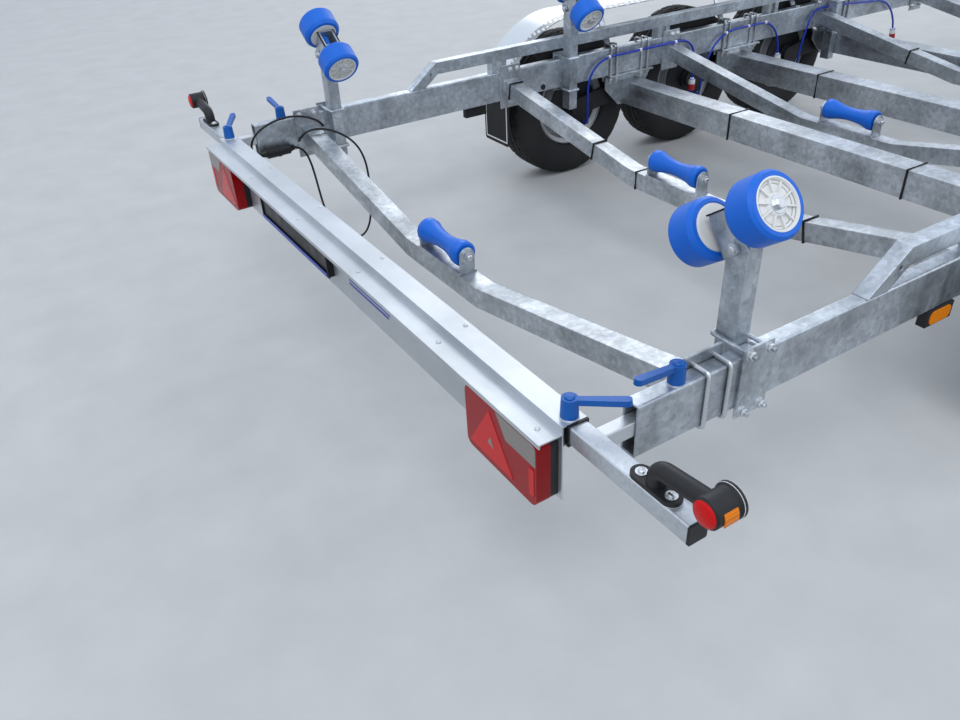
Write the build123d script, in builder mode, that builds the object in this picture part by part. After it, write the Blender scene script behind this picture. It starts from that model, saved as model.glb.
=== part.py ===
from build123d import *
from math import cos, radians, sin, sqrt, tan
import os

os.makedirs("parts", exist_ok=True)

# Triple-axle boat trailer. +X points forward to the coupling, +Y left, +Z up, floor at Z = 0.
# Lengths are in millimetres. Most X places are measured from the rear ends of the side rails.
rail_rear = -4090


def along(distance):
    """X of a place that lies this far ahead of the rails' rear ends."""
    return rail_rear + distance


def hand_in(piece, name):
    """Label a finished piece and write it as its own file."""
    piece.part.label = name
    export_step(piece.part, f"parts/{name}.step")


sides = {"left": 1, "right": -1}

# Side rails: upright rectangular tubes, open at the rear where the light board's arms slide in
rail_length = 5200
rail_height = 120
rail_width = 40
rail_wall = 4
rail_top = 565
rail_y = 1028
rail_corner = 5
rail_bottom = rail_top - rail_height
rail_inner = rail_y - rail_width / 2
rail_outer = rail_y + rail_width / 2

# Light board arms and the sleeve inside each rail that guides them
arm_width = 30
arm_height = 34
arm_drop = 36
arm_gap = 0.5
arm_inside = 760
board_push = 40
sleeve_spare = 25
mouth_depth = 60
sleeve_depth = arm_inside + board_push + sleeve_spare
arm_z = rail_top - arm_drop - arm_height / 2

# Axles: one row for each of the three wheel stations
wheel_place = 1513
axle_pitch = 710
wheel_x = [along(wheel_place + step * axle_pitch) for step in range(3)]
axle_names = ["rear", "middle", "front"]
wheel_radius = 320
wheel_z = wheel_radius
tyre_width = 185
tyre_inner_y = 1082
tyre_y = tyre_inner_y + tyre_width / 2
rim_radius = 180
beam_lead = 267
beam_size = 100
beam_drop = 155
beam_z = rail_top - beam_drop - beam_size / 2

# Dropped cross-members: distances from the rails' rear ends
member_places = [200, 1110, 2015, 3070, 3900]
member_size = 60
member_drop_end = 36
member_drop_flat = 186
member_flat_half = 205
member_bend = 90

# Keel rollers and their brackets, on the first four cross-members
keel_length = 218
keel_end_radius = 37
keel_waist_radius = 24
keel_cheek = 24
keel_chamfer = 5
keel_pin_radius = 8
keel_head = 12
keel_ear_half = 24
keel_axis_up = 55
pin_gap = 0.05
bracket_plate = 6
bracket_clear = 5

# Side posts with twin rollers on tilting brackets
# Columns: place, gap to the rail, length below the rail, drop of the lower U-bolt
post_table = [
    (303, 0, 45, 128),
    (1410, 0, 90, 128),
    (3128, 18, 160, 138),
]
post_depth = 40
post_width = 50
post_flange = rail_inner - post_table[2][1]
bolt_radius = 5
bolt_above = 8
bolt_clear = 0.5
bolt_leg = post_depth / 2 + bolt_radius + bolt_clear
clamp_plate = 6
clamp_half = 42
pivot_up = 207
pivot_pin_radius = 8
pivot_head = 12
pivot_head_x = post_depth / 2 + 7
pair_tilt = 35
pair_axis_up = 50
pair_pin_radius = 9
pair_roller_radius = 65
pair_hub_radius = 50
pair_roller_width = 74
pair_near = {-1: 54, 1: 31}


# Side rails
with BuildPart() as side_rails:
    for side in sides.values():
        with BuildSketch(Plane.YZ.offset(rail_rear)):
            with Locations((side * rail_y, rail_top - rail_height / 2)):
                RectangleRounded(rail_width, rail_height, rail_corner)
        extrude(amount=rail_length)
        with BuildSketch(Plane.YZ.offset(rail_rear)):
            with Locations((side * rail_y, rail_top - rail_height / 2)):
                Rectangle(rail_width - 2 * rail_wall, rail_height - 2 * rail_wall)
        extrude(amount=mouth_depth, mode=Mode.SUBTRACT)
        with BuildSketch(Plane.YZ.offset(along(mouth_depth))):
            with Locations((side * rail_y, arm_z)):
                Rectangle(arm_width + 2 * arm_gap, arm_height + 2 * arm_gap)
        extrude(amount=sleeve_depth - mouth_depth, mode=Mode.SUBTRACT)
hand_in(side_rails, "side_rails")

# Upper rails: a second tube welded above each side rail, sloped down at both ends
upper_start = 640
upper_slope = 122
upper_end = 4820
upper_height = 45
upper_rise = 90
upright_places = [1060, 1970, 2700, 3600, 4300]
upright_width = 22
upright_gap = 26
lash_radius = 6
lash_place = upper_start + 96
lash_up = 48
with BuildPart() as upper_rails:
    for side in sides.values():
        with BuildSketch(Plane.XZ.offset(-(side * rail_y + rail_width / 2))):
            with BuildLine():
                Polyline(
                    (along(upper_start), rail_top),
                    (along(upper_start + upper_slope), rail_top + upper_rise),
                    (along(upper_end - upper_slope), rail_top + upper_rise),
                    (along(upper_end), rail_top),
                    (along(upper_end - 66), rail_top),
                    (along(upper_end - upper_slope - 5), rail_top + upper_rise - upper_height),
                    (along(upper_start + upper_slope + 5), rail_top + upper_rise - upper_height),
                    (along(upper_start + 66), rail_top),
                    close=True,
                )
            make_face()
            for place in upright_places:
                for half in (-1, 1):
                    x = along(place) + half * (upright_gap + upright_width) / 2
                    with Locations((x, rail_top + (upper_rise - upper_height) / 2)):
                        Rectangle(upright_width, upper_rise - upper_height)
            for place in (lash_place, upper_end + upper_start - lash_place):
                with Locations((along(place), rail_top + lash_up)):
                    Circle(lash_radius, mode=Mode.SUBTRACT)
        extrude(amount=rail_width)
hand_in(upper_rails, "upper_rails")

# Drawbar: two arms that converge from the rails to the coupling, with nose plates
drawbar_end = 7850
nose_end = 8010
drawbar_half = 38
nose_plate = 8
nose_plate_start = 7420
brake_x = along(7790)
brake_z = rail_top + 40
brake_lug = 6
brake_lug_y = 44
brake_pin_radius = 8
brake_pin_length = 32
drawbar_slope = (rail_inner - drawbar_half) / (drawbar_end - rail_length)


def drawbar_inner(distance):
    """Half width between the drawbar's arms at a distance from the rails' rear ends."""
    return rail_inner - (distance - rail_length) * drawbar_slope


with BuildPart() as drawbar:
    with BuildSketch(Plane.XY.offset(rail_bottom)):
        for side in sides.values():
            with BuildLine():
                Polyline(
                    (along(rail_length), side * rail_inner),
                    (along(drawbar_end), side * drawbar_half),
                    (along(nose_end), side * drawbar_half),
                    (along(nose_end), side * (drawbar_half + rail_width)),
                    (along(drawbar_end), side * (drawbar_half + rail_width)),
                    (along(rail_length), side * rail_outer),
                    close=True,
                )
            make_face()
    extrude(amount=rail_height)
    for height in (rail_bottom - nose_plate, rail_top):
        with BuildSketch(Plane.XY.offset(height)):
            with BuildLine():
                start_half = drawbar_inner(nose_plate_start) + rail_width
                end_half = drawbar_half + rail_width
                Polyline(
                    (along(nose_plate_start), -start_half),
                    (along(drawbar_end), -end_half),
                    (along(drawbar_end), end_half),
                    (along(nose_plate_start), start_half),
                    close=True,
                )
            make_face()
        extrude(amount=nose_plate)
    with BuildSketch(Plane.XZ.offset(-brake_lug_y)):
        with Locations((brake_x, brake_z)):
            Circle(22)
        with Locations((brake_x, (brake_z + rail_top) / 2)):
            Rectangle(44, brake_z - rail_top)
    extrude(amount=-brake_lug)
    with Locations(Location((brake_x, brake_lug_y + brake_pin_length / 2, brake_z), (90, 0, 0))):
        Cylinder(brake_pin_radius, brake_pin_length)
hand_in(drawbar, "drawbar")

# Dropped cross-members, with end plates against the rails
end_plate = 6
end_plate_length = 100
end_plate_above = [24, 24, 24, 0, 24]
end_plate_below = [30, 30, 30, 0, 30]
member_end = rail_inner - end_plate
member_slope = (member_drop_flat - member_drop_end) / (member_end - member_flat_half)
with BuildPart() as cross_members:
    for place, above, below in zip(member_places, end_plate_above, end_plate_below):
        start_x = along(place) - member_size / 2
        with BuildSketch(Plane.YZ.offset(start_x)) as member_face:
            with BuildLine():
                high = rail_top - member_drop_end
                low = rail_top - member_drop_flat
                FilletPolyline(
                    (member_end, high),
                    (member_flat_half, low),
                    (-member_flat_half, low),
                    (-member_end, high),
                    radius=member_bend + member_size,
                )
                Line((-member_end, high), (-member_end, high - member_size))
                FilletPolyline(
                    (-member_end, high - member_size),
                    (-member_flat_half, low - member_size),
                    (member_flat_half, low - member_size),
                    (member_end, high - member_size),
                    radius=member_bend,
                )
                Line((member_end, high - member_size), (member_end, high))
            make_face()
        extrude(amount=member_size)
        for side in sides.values():
            plate_y = side * (rail_inner - end_plate / 2)
            plate_z = (rail_top + above + rail_bottom - below) / 2
            with Locations((along(place), plate_y, plate_z)):
                Box(end_plate_length, end_plate, above + rail_height + below)
hand_in(cross_members, "cross_members")

# Keel roller brackets: a base on the cross-member, two ears and the pin between them
keel_places = member_places[:4]
keel_z = rail_top - member_drop_flat + keel_axis_up
keel_ear_y = keel_length / 2 + bracket_clear
with BuildPart() as keel_brackets:
    for place in keel_places:
        x = along(place)
        with Locations((x, 0, rail_top - member_drop_flat + bracket_plate / 2)):
            Box(member_size, 2 * (keel_ear_y + bracket_plate), bracket_plate)
        for side in sides.values():
            ear_plane = Plane.XZ.offset(-side * keel_ear_y)
            with BuildSketch(ear_plane):
                with Locations((x, keel_z)):
                    Circle(keel_ear_half)
                with Locations((x, keel_z - keel_axis_up / 2)):
                    Rectangle(2 * keel_ear_half, keel_axis_up)
            extrude(amount=-side * bracket_plate)
        with Locations(Location((x, 0, keel_z), (90, 0, 0))):
            Cylinder(keel_pin_radius, 2 * (keel_ear_y + bracket_plate + 8))
        for side in sides.values():
            with BuildSketch(Plane.XZ.offset(-side * (keel_ear_y + bracket_plate))):
                with Locations((x, keel_z)):
                    RegularPolygon(keel_head, 6, major_radius=False)
            extrude(amount=-side * 12)
hand_in(keel_brackets, "keel_brackets")

# Keel rollers: hourglass rubber rollers
for number, place in enumerate(keel_places, start=1):
    with BuildPart() as keel_roller:
        with BuildSketch(Plane.XY.offset(keel_z)):
            with BuildLine():
                half = keel_length / 2
                x = along(place)
                bore = keel_pin_radius + pin_gap
                rim = keel_end_radius
                cheek = half - keel_cheek
                lip = half - keel_chamfer
                low = rim - keel_chamfer
                Polyline((x + low, half), (x + bore, half), (x + bore, -half), (x + low, -half))
                Polyline((x + low, -half), (x + rim, -lip), (x + rim, -cheek))
                ThreePointArc((x + rim, -cheek), (x + keel_waist_radius, 0), (x + rim, cheek))
                Polyline((x + rim, cheek), (x + rim, lip), (x + low, half))
            make_face()
        revolve(axis=Axis((along(place), 0, keel_z), (0, 1, 0)))
    hand_in(keel_roller, f"keel_roller_{number}")

# Axle beams: a square tube through two bracket plates that hang from the rails
hanger_plate = 10
hanger_rear = 133
hanger_front = 123
hanger_slant = 80
hanger_flange = 8
hanger_flange_width = 2 * (rail_y - post_flange)
beam_end_y = 1052
beam_x = [x + beam_lead for x in wheel_x]
with BuildPart() as axle_beams:
    for x in beam_x:
        with Locations((x, 0, beam_z)):
            Box(beam_size, 2 * beam_end_y, beam_size)
        for side in sides.values():
            with BuildSketch(Plane.XZ.offset(-side * (rail_y + hanger_plate / 2))):
                with BuildLine():
                    bottom = beam_z - beam_size / 2 - 12
                    Polyline(
                        (x - hanger_rear, rail_bottom),
                        (x - hanger_rear, bottom + hanger_slant),
                        (x - hanger_rear + hanger_slant, bottom),
                        (x + beam_size / 2 + 12, bottom),
                        (x + hanger_front, rail_bottom - 30),
                        (x + hanger_front, rail_bottom),
                        close=True,
                    )
                make_face()
            extrude(amount=hanger_plate)
            flange_x = x + (hanger_front - hanger_rear) / 2
            with Locations((flange_x, side * rail_y, rail_bottom - hanger_flange / 2)):
                Box(hanger_rear + hanger_front, hanger_flange_width, hanger_flange)
    # the front post's U-bolt passes through the hanger, and its clamp plate through the flange
    post_x = along(post_table[2][0])
    for side in sides.values():
        for half in (-1, 1):
            bolt_place = (post_x + half * bolt_leg, side * rail_y, rail_top - post_table[2][3])
            with Locations(Location(bolt_place, (90, 0, 0))):
                Cylinder(bolt_radius + 0.3, 2 * hanger_plate, mode=Mode.SUBTRACT)
        notch_y = rail_outer + hanger_flange_width / 4
        with Locations((post_x, side * notch_y, rail_bottom - hanger_flange / 2)):
            Box(
                2 * clamp_half + 1,
                hanger_flange_width / 2,
                2 * hanger_flange,
                mode=Mode.SUBTRACT,
            )
hand_in(axle_beams, "axle_beams")

# Swing arms: trailing arm, stub axle and brake backplate for each wheel
swing_arm_y = beam_end_y
swing_arm_thick = 20
swing_eye_radius = 36
swing_root_radius = 45
stub_radius = 17.5
backplate_radius = 128
backplate_y = 1092
stub_end_y = 1180
with BuildPart() as swing_arms:
    for x in wheel_x:
        for side in sides.values():
            with BuildSketch(Plane.XZ.offset(-side * swing_arm_y)):
                with Locations((x, wheel_z)):
                    Circle(swing_eye_radius)
                with Locations((x + beam_lead, beam_z)):
                    Circle(swing_root_radius)
                make_hull()
            extrude(amount=-side * swing_arm_thick)
            with Locations(Location((x, side * (swing_arm_y + stub_end_y) / 2, wheel_z), (90, 0, 0))):
                Cylinder(stub_radius, stub_end_y - swing_arm_y)
            with Locations(Location((x, side * (backplate_y + 3), wheel_z), (90, 0, 0))):
                Cylinder(backplate_radius, 6)
            with Locations(Location((x, side * (backplate_y - 8), wheel_z), (90, 0, 0))):
                Cylinder(45, 24)
hand_in(swing_arms, "swing_arms")

# Wheels: tyre and rim with brake drum, one body each
drum_inner_y = backplate_y + 12
drum_radius = 118
hub_radius = 42
rim_face_y = 1205
vent_ring = 119
vent_count = 10
vent_radius = 10
vent_depth = 48
for station, x in zip(axle_names, wheel_x):
    for side_name, side in sides.items():
        axis = Axis((x, 0, wheel_z), (0, 1, 0))
        with BuildPart() as tyre:
            with BuildSketch(Plane.XY.offset(wheel_z)):
                with BuildLine():
                    inner = side * tyre_inner_y
                    outer = side * (tyre_inner_y + tyre_width)
                    mid = side * tyre_y
                    tread = side * (tyre_width / 2 - 24)
                    Polyline(
                        (x + rim_radius, mid - side * 66),
                        (x + rim_radius + 8, mid - side * 80),
                    )
                    ThreePointArc(
                        (x + rim_radius + 8, mid - side * 80),
                        (x + 250, inner),
                        (x + wheel_radius - 16, mid - tread - side * 10),
                    )
                    ThreePointArc(
                        (x + wheel_radius - 16, mid - tread - side * 10),
                        (x + wheel_radius - 4, mid - tread),
                        (x + wheel_radius - 1, mid - tread + side * 12),
                    )
                    ThreePointArc(
                        (x + wheel_radius - 1, mid - tread + side * 12),
                        (x + wheel_radius, mid),
                        (x + wheel_radius - 1, mid + tread - side * 12),
                    )
                    ThreePointArc(
                        (x + wheel_radius - 1, mid + tread - side * 12),
                        (x + wheel_radius - 4, mid + tread),
                        (x + wheel_radius - 16, mid + tread + side * 10),
                    )
                    ThreePointArc(
                        (x + wheel_radius - 16, mid + tread + side * 10),
                        (x + 250, outer),
                        (x + rim_radius + 8, mid + side * 80),
                    )
                    Polyline(
                        (x + rim_radius + 8, mid + side * 80),
                        (x + rim_radius, mid + side * 66),
                        (x + rim_radius, mid - side * 66),
                    )
                make_face()
            revolve(axis=axis)
        hand_in(tyre, f"tyre_{side_name}_{station}")
        with BuildPart() as rim:
            with BuildSketch(Plane.XY.offset(wheel_z)):
                with BuildLine():
                    Polyline(
                        (x + stub_radius + pin_gap, side * drum_inner_y),
                        (x + drum_radius, side * drum_inner_y),
                        (x + drum_radius, side * (drum_inner_y + 62)),
                        (x + 70, side * (drum_inner_y + 66)),
                        (x + 70, side * (rim_face_y - 12)),
                        (x + 100, side * rim_face_y),
                        (x + 135, side * (rim_face_y - 22)),
                        (x + rim_radius - 28, side * (rim_face_y - 30)),
                        (x + rim_radius - 22, side * (tyre_y - 50)),
                        (x + rim_radius - 6, side * (tyre_y - 62)),
                        (x + rim_radius - 6, side * (tyre_y - 74)),
                        (x + rim_radius, side * (tyre_y - 66)),
                        (x + rim_radius, side * (tyre_y + 66)),
                        (x + rim_radius + 8, side * (tyre_y + 80)),
                        (x + rim_radius + 4, side * (tyre_y + 83)),
                        (x + rim_radius - 8, side * (tyre_y + 66)),
                        (x + rim_radius - 20, side * (tyre_y + 40)),
                        (x + 138, side * (rim_face_y - 14)),
                        (x + 102, side * (rim_face_y + 9)),
                        (x + hub_radius, side * (rim_face_y - 2)),
                        (x + 34, side * (rim_face_y + 26)),
                        (x, side * (rim_face_y + 28)),
                        (x, side * (stub_end_y + 3)),
                        (x + stub_radius + pin_gap, side * (stub_end_y + 3)),
                        close=True,
                    )
                make_face()
            revolve(axis=axis)
            with BuildSketch(Plane.XZ.offset(-side * (rim_face_y + 20))):
                with Locations((x, wheel_z)):
                    with PolarLocations(vent_ring, vent_count):
                        Circle(vent_radius)
            extrude(amount=side * vent_depth, mode=Mode.SUBTRACT)
        hand_in(rim, f"rim_{side_name}_{station}")

# Mudguards: one long aluminium sheet over the three wheels of each side
guard_radius = 400
guard_sheet = 3
guard_inner_y = 1072
guard_outer_y = 1277
guard_drop = 100
guard_end_z = rail_top - guard_drop
reach = sqrt(guard_radius**2 - (guard_end_z - wheel_z) ** 2)
with BuildPart() as mudguards:
    for side in sides.values():
        rear_x = wheel_x[0]
        front_x = wheel_x[2]
        with BuildSketch(Plane.XZ.offset(-side * guard_inner_y)):
            with BuildLine() as guard_line:
                rear_arc = RadiusArc(
                    (rear_x - reach, guard_end_z), (rear_x, wheel_z + guard_radius), guard_radius
                )
                Line((rear_x, wheel_z + guard_radius), (front_x, wheel_z + guard_radius))
                RadiusArc(
                    (front_x, wheel_z + guard_radius), (front_x + reach, guard_end_z), guard_radius
                )
                offset(amount=-guard_sheet, side=Side.RIGHT)
            make_face()
        extrude(amount=-side * (guard_outer_y - guard_inner_y))
hand_in(mudguards, "mudguards")

# Mudguard stays: bent flat bars up to the sheet, and straight bars at the sheet's ends
stay_places = [1674, 2387, 2900]
stay_width = 30
stay_thick = 6
stay_foot_y = rail_y - 10
stay_top_y = 1130
stay_lip = 60
end_bar_height = 32
sheet_low = wheel_z + guard_radius - guard_sheet
with BuildPart() as mudguard_stays:
    for side in sides.values():
        for place in stay_places:
            with BuildSketch(Plane.YZ.offset(along(place) - stay_width / 2)):
                with BuildLine():
                    Polyline(
                        (side * stay_foot_y, rail_top),
                        (side * (rail_outer + 6), rail_top),
                        (side * stay_top_y, sheet_low - stay_thick),
                        (side * (stay_top_y + stay_lip), sheet_low - stay_thick),
                        (side * (stay_top_y + stay_lip), sheet_low),
                        (side * (stay_top_y - 3), sheet_low),
                        (side * (rail_outer + 1), rail_top + stay_thick),
                        (side * stay_foot_y, rail_top + stay_thick),
                        close=True,
                    )
                make_face()
            extrude(amount=stay_width)
        for end_x, turn in ((wheel_x[0] - reach, -1), (wheel_x[2] + reach, 1)):
            bar_y = (rail_outer + guard_outer_y - 12) / 2
            bar_z = guard_end_z + end_bar_height / 2 - 10
            with Locations((end_x + turn * stay_thick / 2, side * bar_y, bar_z)):
                Box(stay_thick, guard_outer_y - 12 - rail_outer, end_bar_height)
hand_in(mudguard_stays, "mudguard_stays")

# Mudflaps: rubber sheets that hang behind the rear wheels
flap_thick = 6
flap_x = wheel_x[0] - reach - stay_thick - flap_thick
flap_inner_y = rail_outer + 8
flap_width = 190
flap_top = guard_end_z + 20
flap_height = 270
with BuildPart() as mudflaps:
    for side in sides.values():
        with BuildSketch(Plane.YZ.offset(flap_x)):
            with Locations((side * (flap_inner_y + flap_width / 2), flap_top - flap_height / 2)):
                RectangleRounded(flap_width, flap_height, 14)
        extrude(amount=flap_thick)
hand_in(mudflaps, "mudflaps")

# Side posts: a tube on the rail's inner face, held by two U-bolts through an outer plate
clamp_margin = 14
bolt_bend = 6
bolt_end_y = rail_outer + 24
with BuildPart() as side_posts:
    for place, stand_off, below, bolt_below in post_table:
        x = along(place)
        post_y = rail_inner - stand_off - post_width / 2
        for side in sides.values():
            pivot_z = rail_top + pivot_up
            post_bottom = rail_bottom - below
            with BuildSketch(Plane.YZ.offset(x - post_depth / 2)):
                with Locations((side * post_y, (post_bottom + pivot_z) / 2)):
                    Rectangle(post_width, pivot_z - post_bottom)
                with Locations((side * post_y, pivot_z)):
                    Circle(post_width / 2)
            extrude(amount=post_depth)
            with Locations(Location((x, side * post_y, pivot_z), (0, 90, 0))):
                Cylinder(pivot_pin_radius, 2 * pivot_head_x)
            for half in (-1, 1):
                with BuildSketch(Plane.YZ.offset(x + half * pivot_head_x)):
                    with Locations((side * post_y, pivot_z)):
                        RegularPolygon(pivot_head, 6, major_radius=False)
                extrude(amount=half * 10)
            plate_z = rail_top + (bolt_above - bolt_below) / 2
            with Locations((x, side * (rail_outer + clamp_plate / 2), plate_z)):
                Box(2 * clamp_half, clamp_plate, bolt_above + bolt_below + 2 * clamp_margin)
            for drop in (-bolt_above, bolt_below):
                bend_y = post_y - post_width / 2 - bolt_radius - bolt_clear
                path_z = rail_top - drop
                with BuildLine():
                    bolt_line = FilletPolyline(
                        (x - bolt_leg, side * bolt_end_y, path_z),
                        (x - bolt_leg, side * bend_y, path_z),
                        (x + bolt_leg, side * bend_y, path_z),
                        (x + bolt_leg, side * bolt_end_y, path_z),
                        radius=bolt_bend,
                    )
                with BuildSketch(Plane(bolt_line @ 0, z_dir=bolt_line % 0)):
                    Circle(bolt_radius)
                sweep(path=bolt_line)
hand_in(side_posts, "side_posts")

# Tilting brackets and their twin rollers, one of each on every side post
bracket_reach = {-1: 38, 1: 29}
bracket_sheet = 5
bracket_face = post_depth / 2 + 1.5
bracket_low = -12
wall_low = post_width / 2 + 3
wall_high = 78
for side_name, side in sides.items():
    for number, (place, stand_off, below, bolt_below) in enumerate(post_table, start=1):
        x = along(place)
        post_y = rail_inner - stand_off - post_width / 2
        # in this plane the local X runs along the rollers' shaft, outwards and up
        shaft = (0, side * cos(radians(pair_tilt)), sin(radians(pair_tilt)))
        pivot = Vector(x, side * post_y, rail_top + pivot_up)
        tilted = Plane(origin=pivot, x_dir=shaft, z_dir=(side, 0, 0))
        with BuildPart() as side_bracket:
            for half in (-1, 1):
                near = half * bracket_face
                with BuildSketch(tilted.offset(near)):
                    bracket_middle = (bracket_reach[1] - bracket_reach[-1]) / 2
                    with Locations((bracket_middle, (bracket_low + wall_high) / 2)):
                        Rectangle(bracket_reach[1] + bracket_reach[-1], wall_high - bracket_low)
                    Circle(pivot_pin_radius + pin_gap, mode=Mode.SUBTRACT)
                extrude(amount=half * bracket_sheet)
                wall_middle = half * (bracket_reach[half] - bracket_sheet / 2)
                with BuildSketch(tilted.offset(-bracket_face)):
                    with Locations((wall_middle, (wall_low + wall_high) / 2)):
                        Rectangle(bracket_sheet, wall_high - wall_low)
                extrude(amount=2 * bracket_face)
            shaft_plane = Plane(origin=tilted.from_local_coords((-60, pair_axis_up, 0)), z_dir=shaft)
            with BuildSketch(shaft_plane):
                Circle(pair_pin_radius + pin_gap)
            extrude(amount=120, mode=Mode.SUBTRACT)
        hand_in(side_bracket, f"side_bracket_{side_name}_{number}")
        with BuildPart() as side_rollers:
            axis_point = tilted.from_local_coords((0, pair_axis_up, 0))
            with BuildSketch(tilted):
                for half in (-1, 1):
                    near = half * pair_near[half]
                    far = half * (pair_near[half] + pair_roller_width)
                    hub = pair_axis_up + pair_hub_radius
                    crown = pair_axis_up + pair_roller_radius
                    with BuildLine():
                        Polyline(
                            (near, pair_axis_up),
                            (near, pair_axis_up + 20),
                            (near + half * 4, hub - 3),
                            (near, hub),
                            (near + half * 2, crown - 7),
                            (near + half * 13, crown),
                            (far - half * 7, crown),
                            (far, crown - 6),
                            (far, hub),
                            (far - half * 8, hub - 6),
                            (far - half * 8, pair_axis_up + 24),
                            (far - half * 2, pair_axis_up + 20),
                            (far - half * 2, pair_axis_up),
                            close=True,
                        )
                    make_face()
                shaft_middle = (pair_near[1] - pair_near[-1]) / 2
                with Locations((shaft_middle, pair_axis_up + pair_pin_radius / 2)):
                    Rectangle(pair_near[1] + pair_near[-1] + 2, pair_pin_radius)
            revolve(axis=Axis(axis_point, shaft))
        hand_in(side_rollers, f"side_rollers_{side_name}_{number}")

# Light board: folded aluminium hood with a crown channel, a lamp panel and two sliding arms
board_inset = 28
board_half = rail_y - board_inset
hood_rear = along(-186)
crown_rear = along(-128)
crown_front = along(-78)
hood_drop = 31
crown_drop = 14
hood_top = rail_top - hood_drop
crown_top = rail_top - crown_drop
board_sheet = 3
arm_foot = 6
marker_size = 40
slide_gap = 0.3
crown_bottom = crown_top - 2 * board_sheet - 2 * slide_gap - marker_size
panel_bottom = rail_top - 190
marker_z = crown_top - board_sheet - slide_gap - marker_size / 2
marker_x = crown_front - board_sheet - slide_gap - marker_size / 2
panel_rear = crown_rear - 2 * board_sheet
board_bars = [
    # rear X, front X, low Z, high Z
    (hood_rear, panel_rear + board_sheet, hood_top - board_sheet, hood_top),
    (hood_rear, hood_rear + board_sheet, hood_top - 10, hood_top),
    (panel_rear, panel_rear + board_sheet, panel_bottom, crown_top),
    (panel_rear, crown_front, crown_top - board_sheet, crown_top),
    (crown_front - board_sheet, crown_front, crown_bottom, crown_top),
    (panel_rear, crown_front, crown_bottom, crown_bottom + board_sheet),
]
with BuildPart() as light_board:
    with BuildSketch(Plane.XZ.offset(-board_half)):
        for rear, front, low, high in board_bars:
            with Locations(((rear + front) / 2, (low + high) / 2)):
                Rectangle(front - rear, high - low)
    extrude(amount=2 * board_half)
    for side in sides.values():
        with BuildSketch(Plane.YZ.offset(crown_front)):
            with Locations((side * rail_y, arm_z)):
                RectangleRounded(arm_width, arm_height, 3)
        extrude(amount=rail_rear + arm_inside - crown_front)
        with Locations((crown_front + arm_foot / 2, side * (rail_y - board_inset / 2), arm_z)):
            Box(arm_foot, board_inset + arm_width, arm_height)
hand_in(light_board, "light_board")

# Marker arms: tubes that slide out of the crown, each with a position lamp on a rubber stalk
marker_out = 300
marker_inside = 400
marker_reach = board_half + marker_out
marker_top = marker_z + marker_size / 2
flange_length = 108
flange_width = 38
flange_thick = 8
flange_y = marker_reach - 94
stalk_radius = 17
stalk_bend = 24
stalk_up = 42
lamp_head_y = marker_reach + 33
lamp_head_z = marker_top + 58
lamp_head_radius = 27
lamp_head_long = 56
lamp_ring_radius = 31
lamp_ring_long = 9
for side_name, side in sides.items():
    with BuildPart() as marker_arm:
        with BuildSketch(Plane.XZ.offset(-side * (board_half - marker_inside))):
            with Locations((marker_x, marker_z)):
                RectangleRounded(marker_size, marker_size, 4)
        extrude(amount=-side * (marker_inside + marker_out))
        with BuildSketch(Plane.XY.offset(marker_top)):
            with Locations((marker_x, side * flange_y)):
                SlotOverall(flange_length, flange_width, rotation=90)
        extrude(amount=flange_thick)
        with BuildLine():
            stalk_line = FilletPolyline(
                (marker_x, side * flange_y, marker_top),
                (marker_x, side * flange_y, marker_top + stalk_up),
                (marker_x, side * lamp_head_y, lamp_head_z),
                radius=stalk_bend,
            )
        with BuildSketch(Plane(stalk_line @ 0, z_dir=stalk_line % 0)):
            Circle(stalk_radius)
        sweep(path=stalk_line)
        with BuildSketch(Plane.XY.offset(lamp_head_z)):
            with BuildLine():
                lens_x = marker_x - lamp_head_long / 2
                front_x = marker_x + lamp_head_long / 2
                Polyline(
                    (lens_x, side * (lamp_head_y + lamp_head_radius - 3)),
                    (lens_x + 3, side * (lamp_head_y + lamp_head_radius)),
                    (front_x - lamp_ring_long, side * (lamp_head_y + lamp_head_radius)),
                    (front_x - lamp_ring_long + 4, side * (lamp_head_y + lamp_ring_radius)),
                    (front_x, side * (lamp_head_y + lamp_ring_radius)),
                    (front_x, side * lamp_head_y),
                    (lens_x - 5, side * lamp_head_y),
                )
                ThreePointArc(
                    (lens_x - 5, side * lamp_head_y),
                    (lens_x - 3.6, side * (lamp_head_y + lamp_head_radius / 2)),
                    (lens_x, side * (lamp_head_y + lamp_head_radius - 3)),
                )
            make_face()
        revolve(axis=Axis((marker_x, side * lamp_head_y, lamp_head_z), (1, 0, 0)))
    hand_in(marker_arm, f"marker_arm_{side_name}")

# Tail lamps and the number plate holder under the hood
lamp_inner_y = 745
lamp_width = 245
lamp_top = hood_top - 10
lamp_height = 150
lamp_depth = 50
with BuildPart() as tail_lamps:
    for side in sides.values():
        with BuildSketch(Plane.YZ.offset(panel_rear)):
            with Locations((side * (lamp_inner_y + lamp_width / 2), lamp_top - lamp_height / 2)):
                RectangleRounded(lamp_width, lamp_height, 18)
        extrude(amount=-lamp_depth)
hand_in(tail_lamps, "tail_lamps")

plate_width = 530
plate_height = 118
plate_y = 310
with BuildPart() as plate_holder:
    with BuildSketch(Plane.YZ.offset(panel_rear)):
        with Locations((plate_y, lamp_top - plate_height / 2)):
            RectangleRounded(plate_width, plate_height, 8)
    extrude(amount=-14)
hand_in(plate_holder, "plate_holder")

# Clamp levers: two on the board's crown and two on the rails
lever_length = 104
lever_hub = 18
lever_hub_high = 42
lever_neck_radius = 7
lever_end_radius = 9
lever_thick = 14
lever_rise = 8


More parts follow.
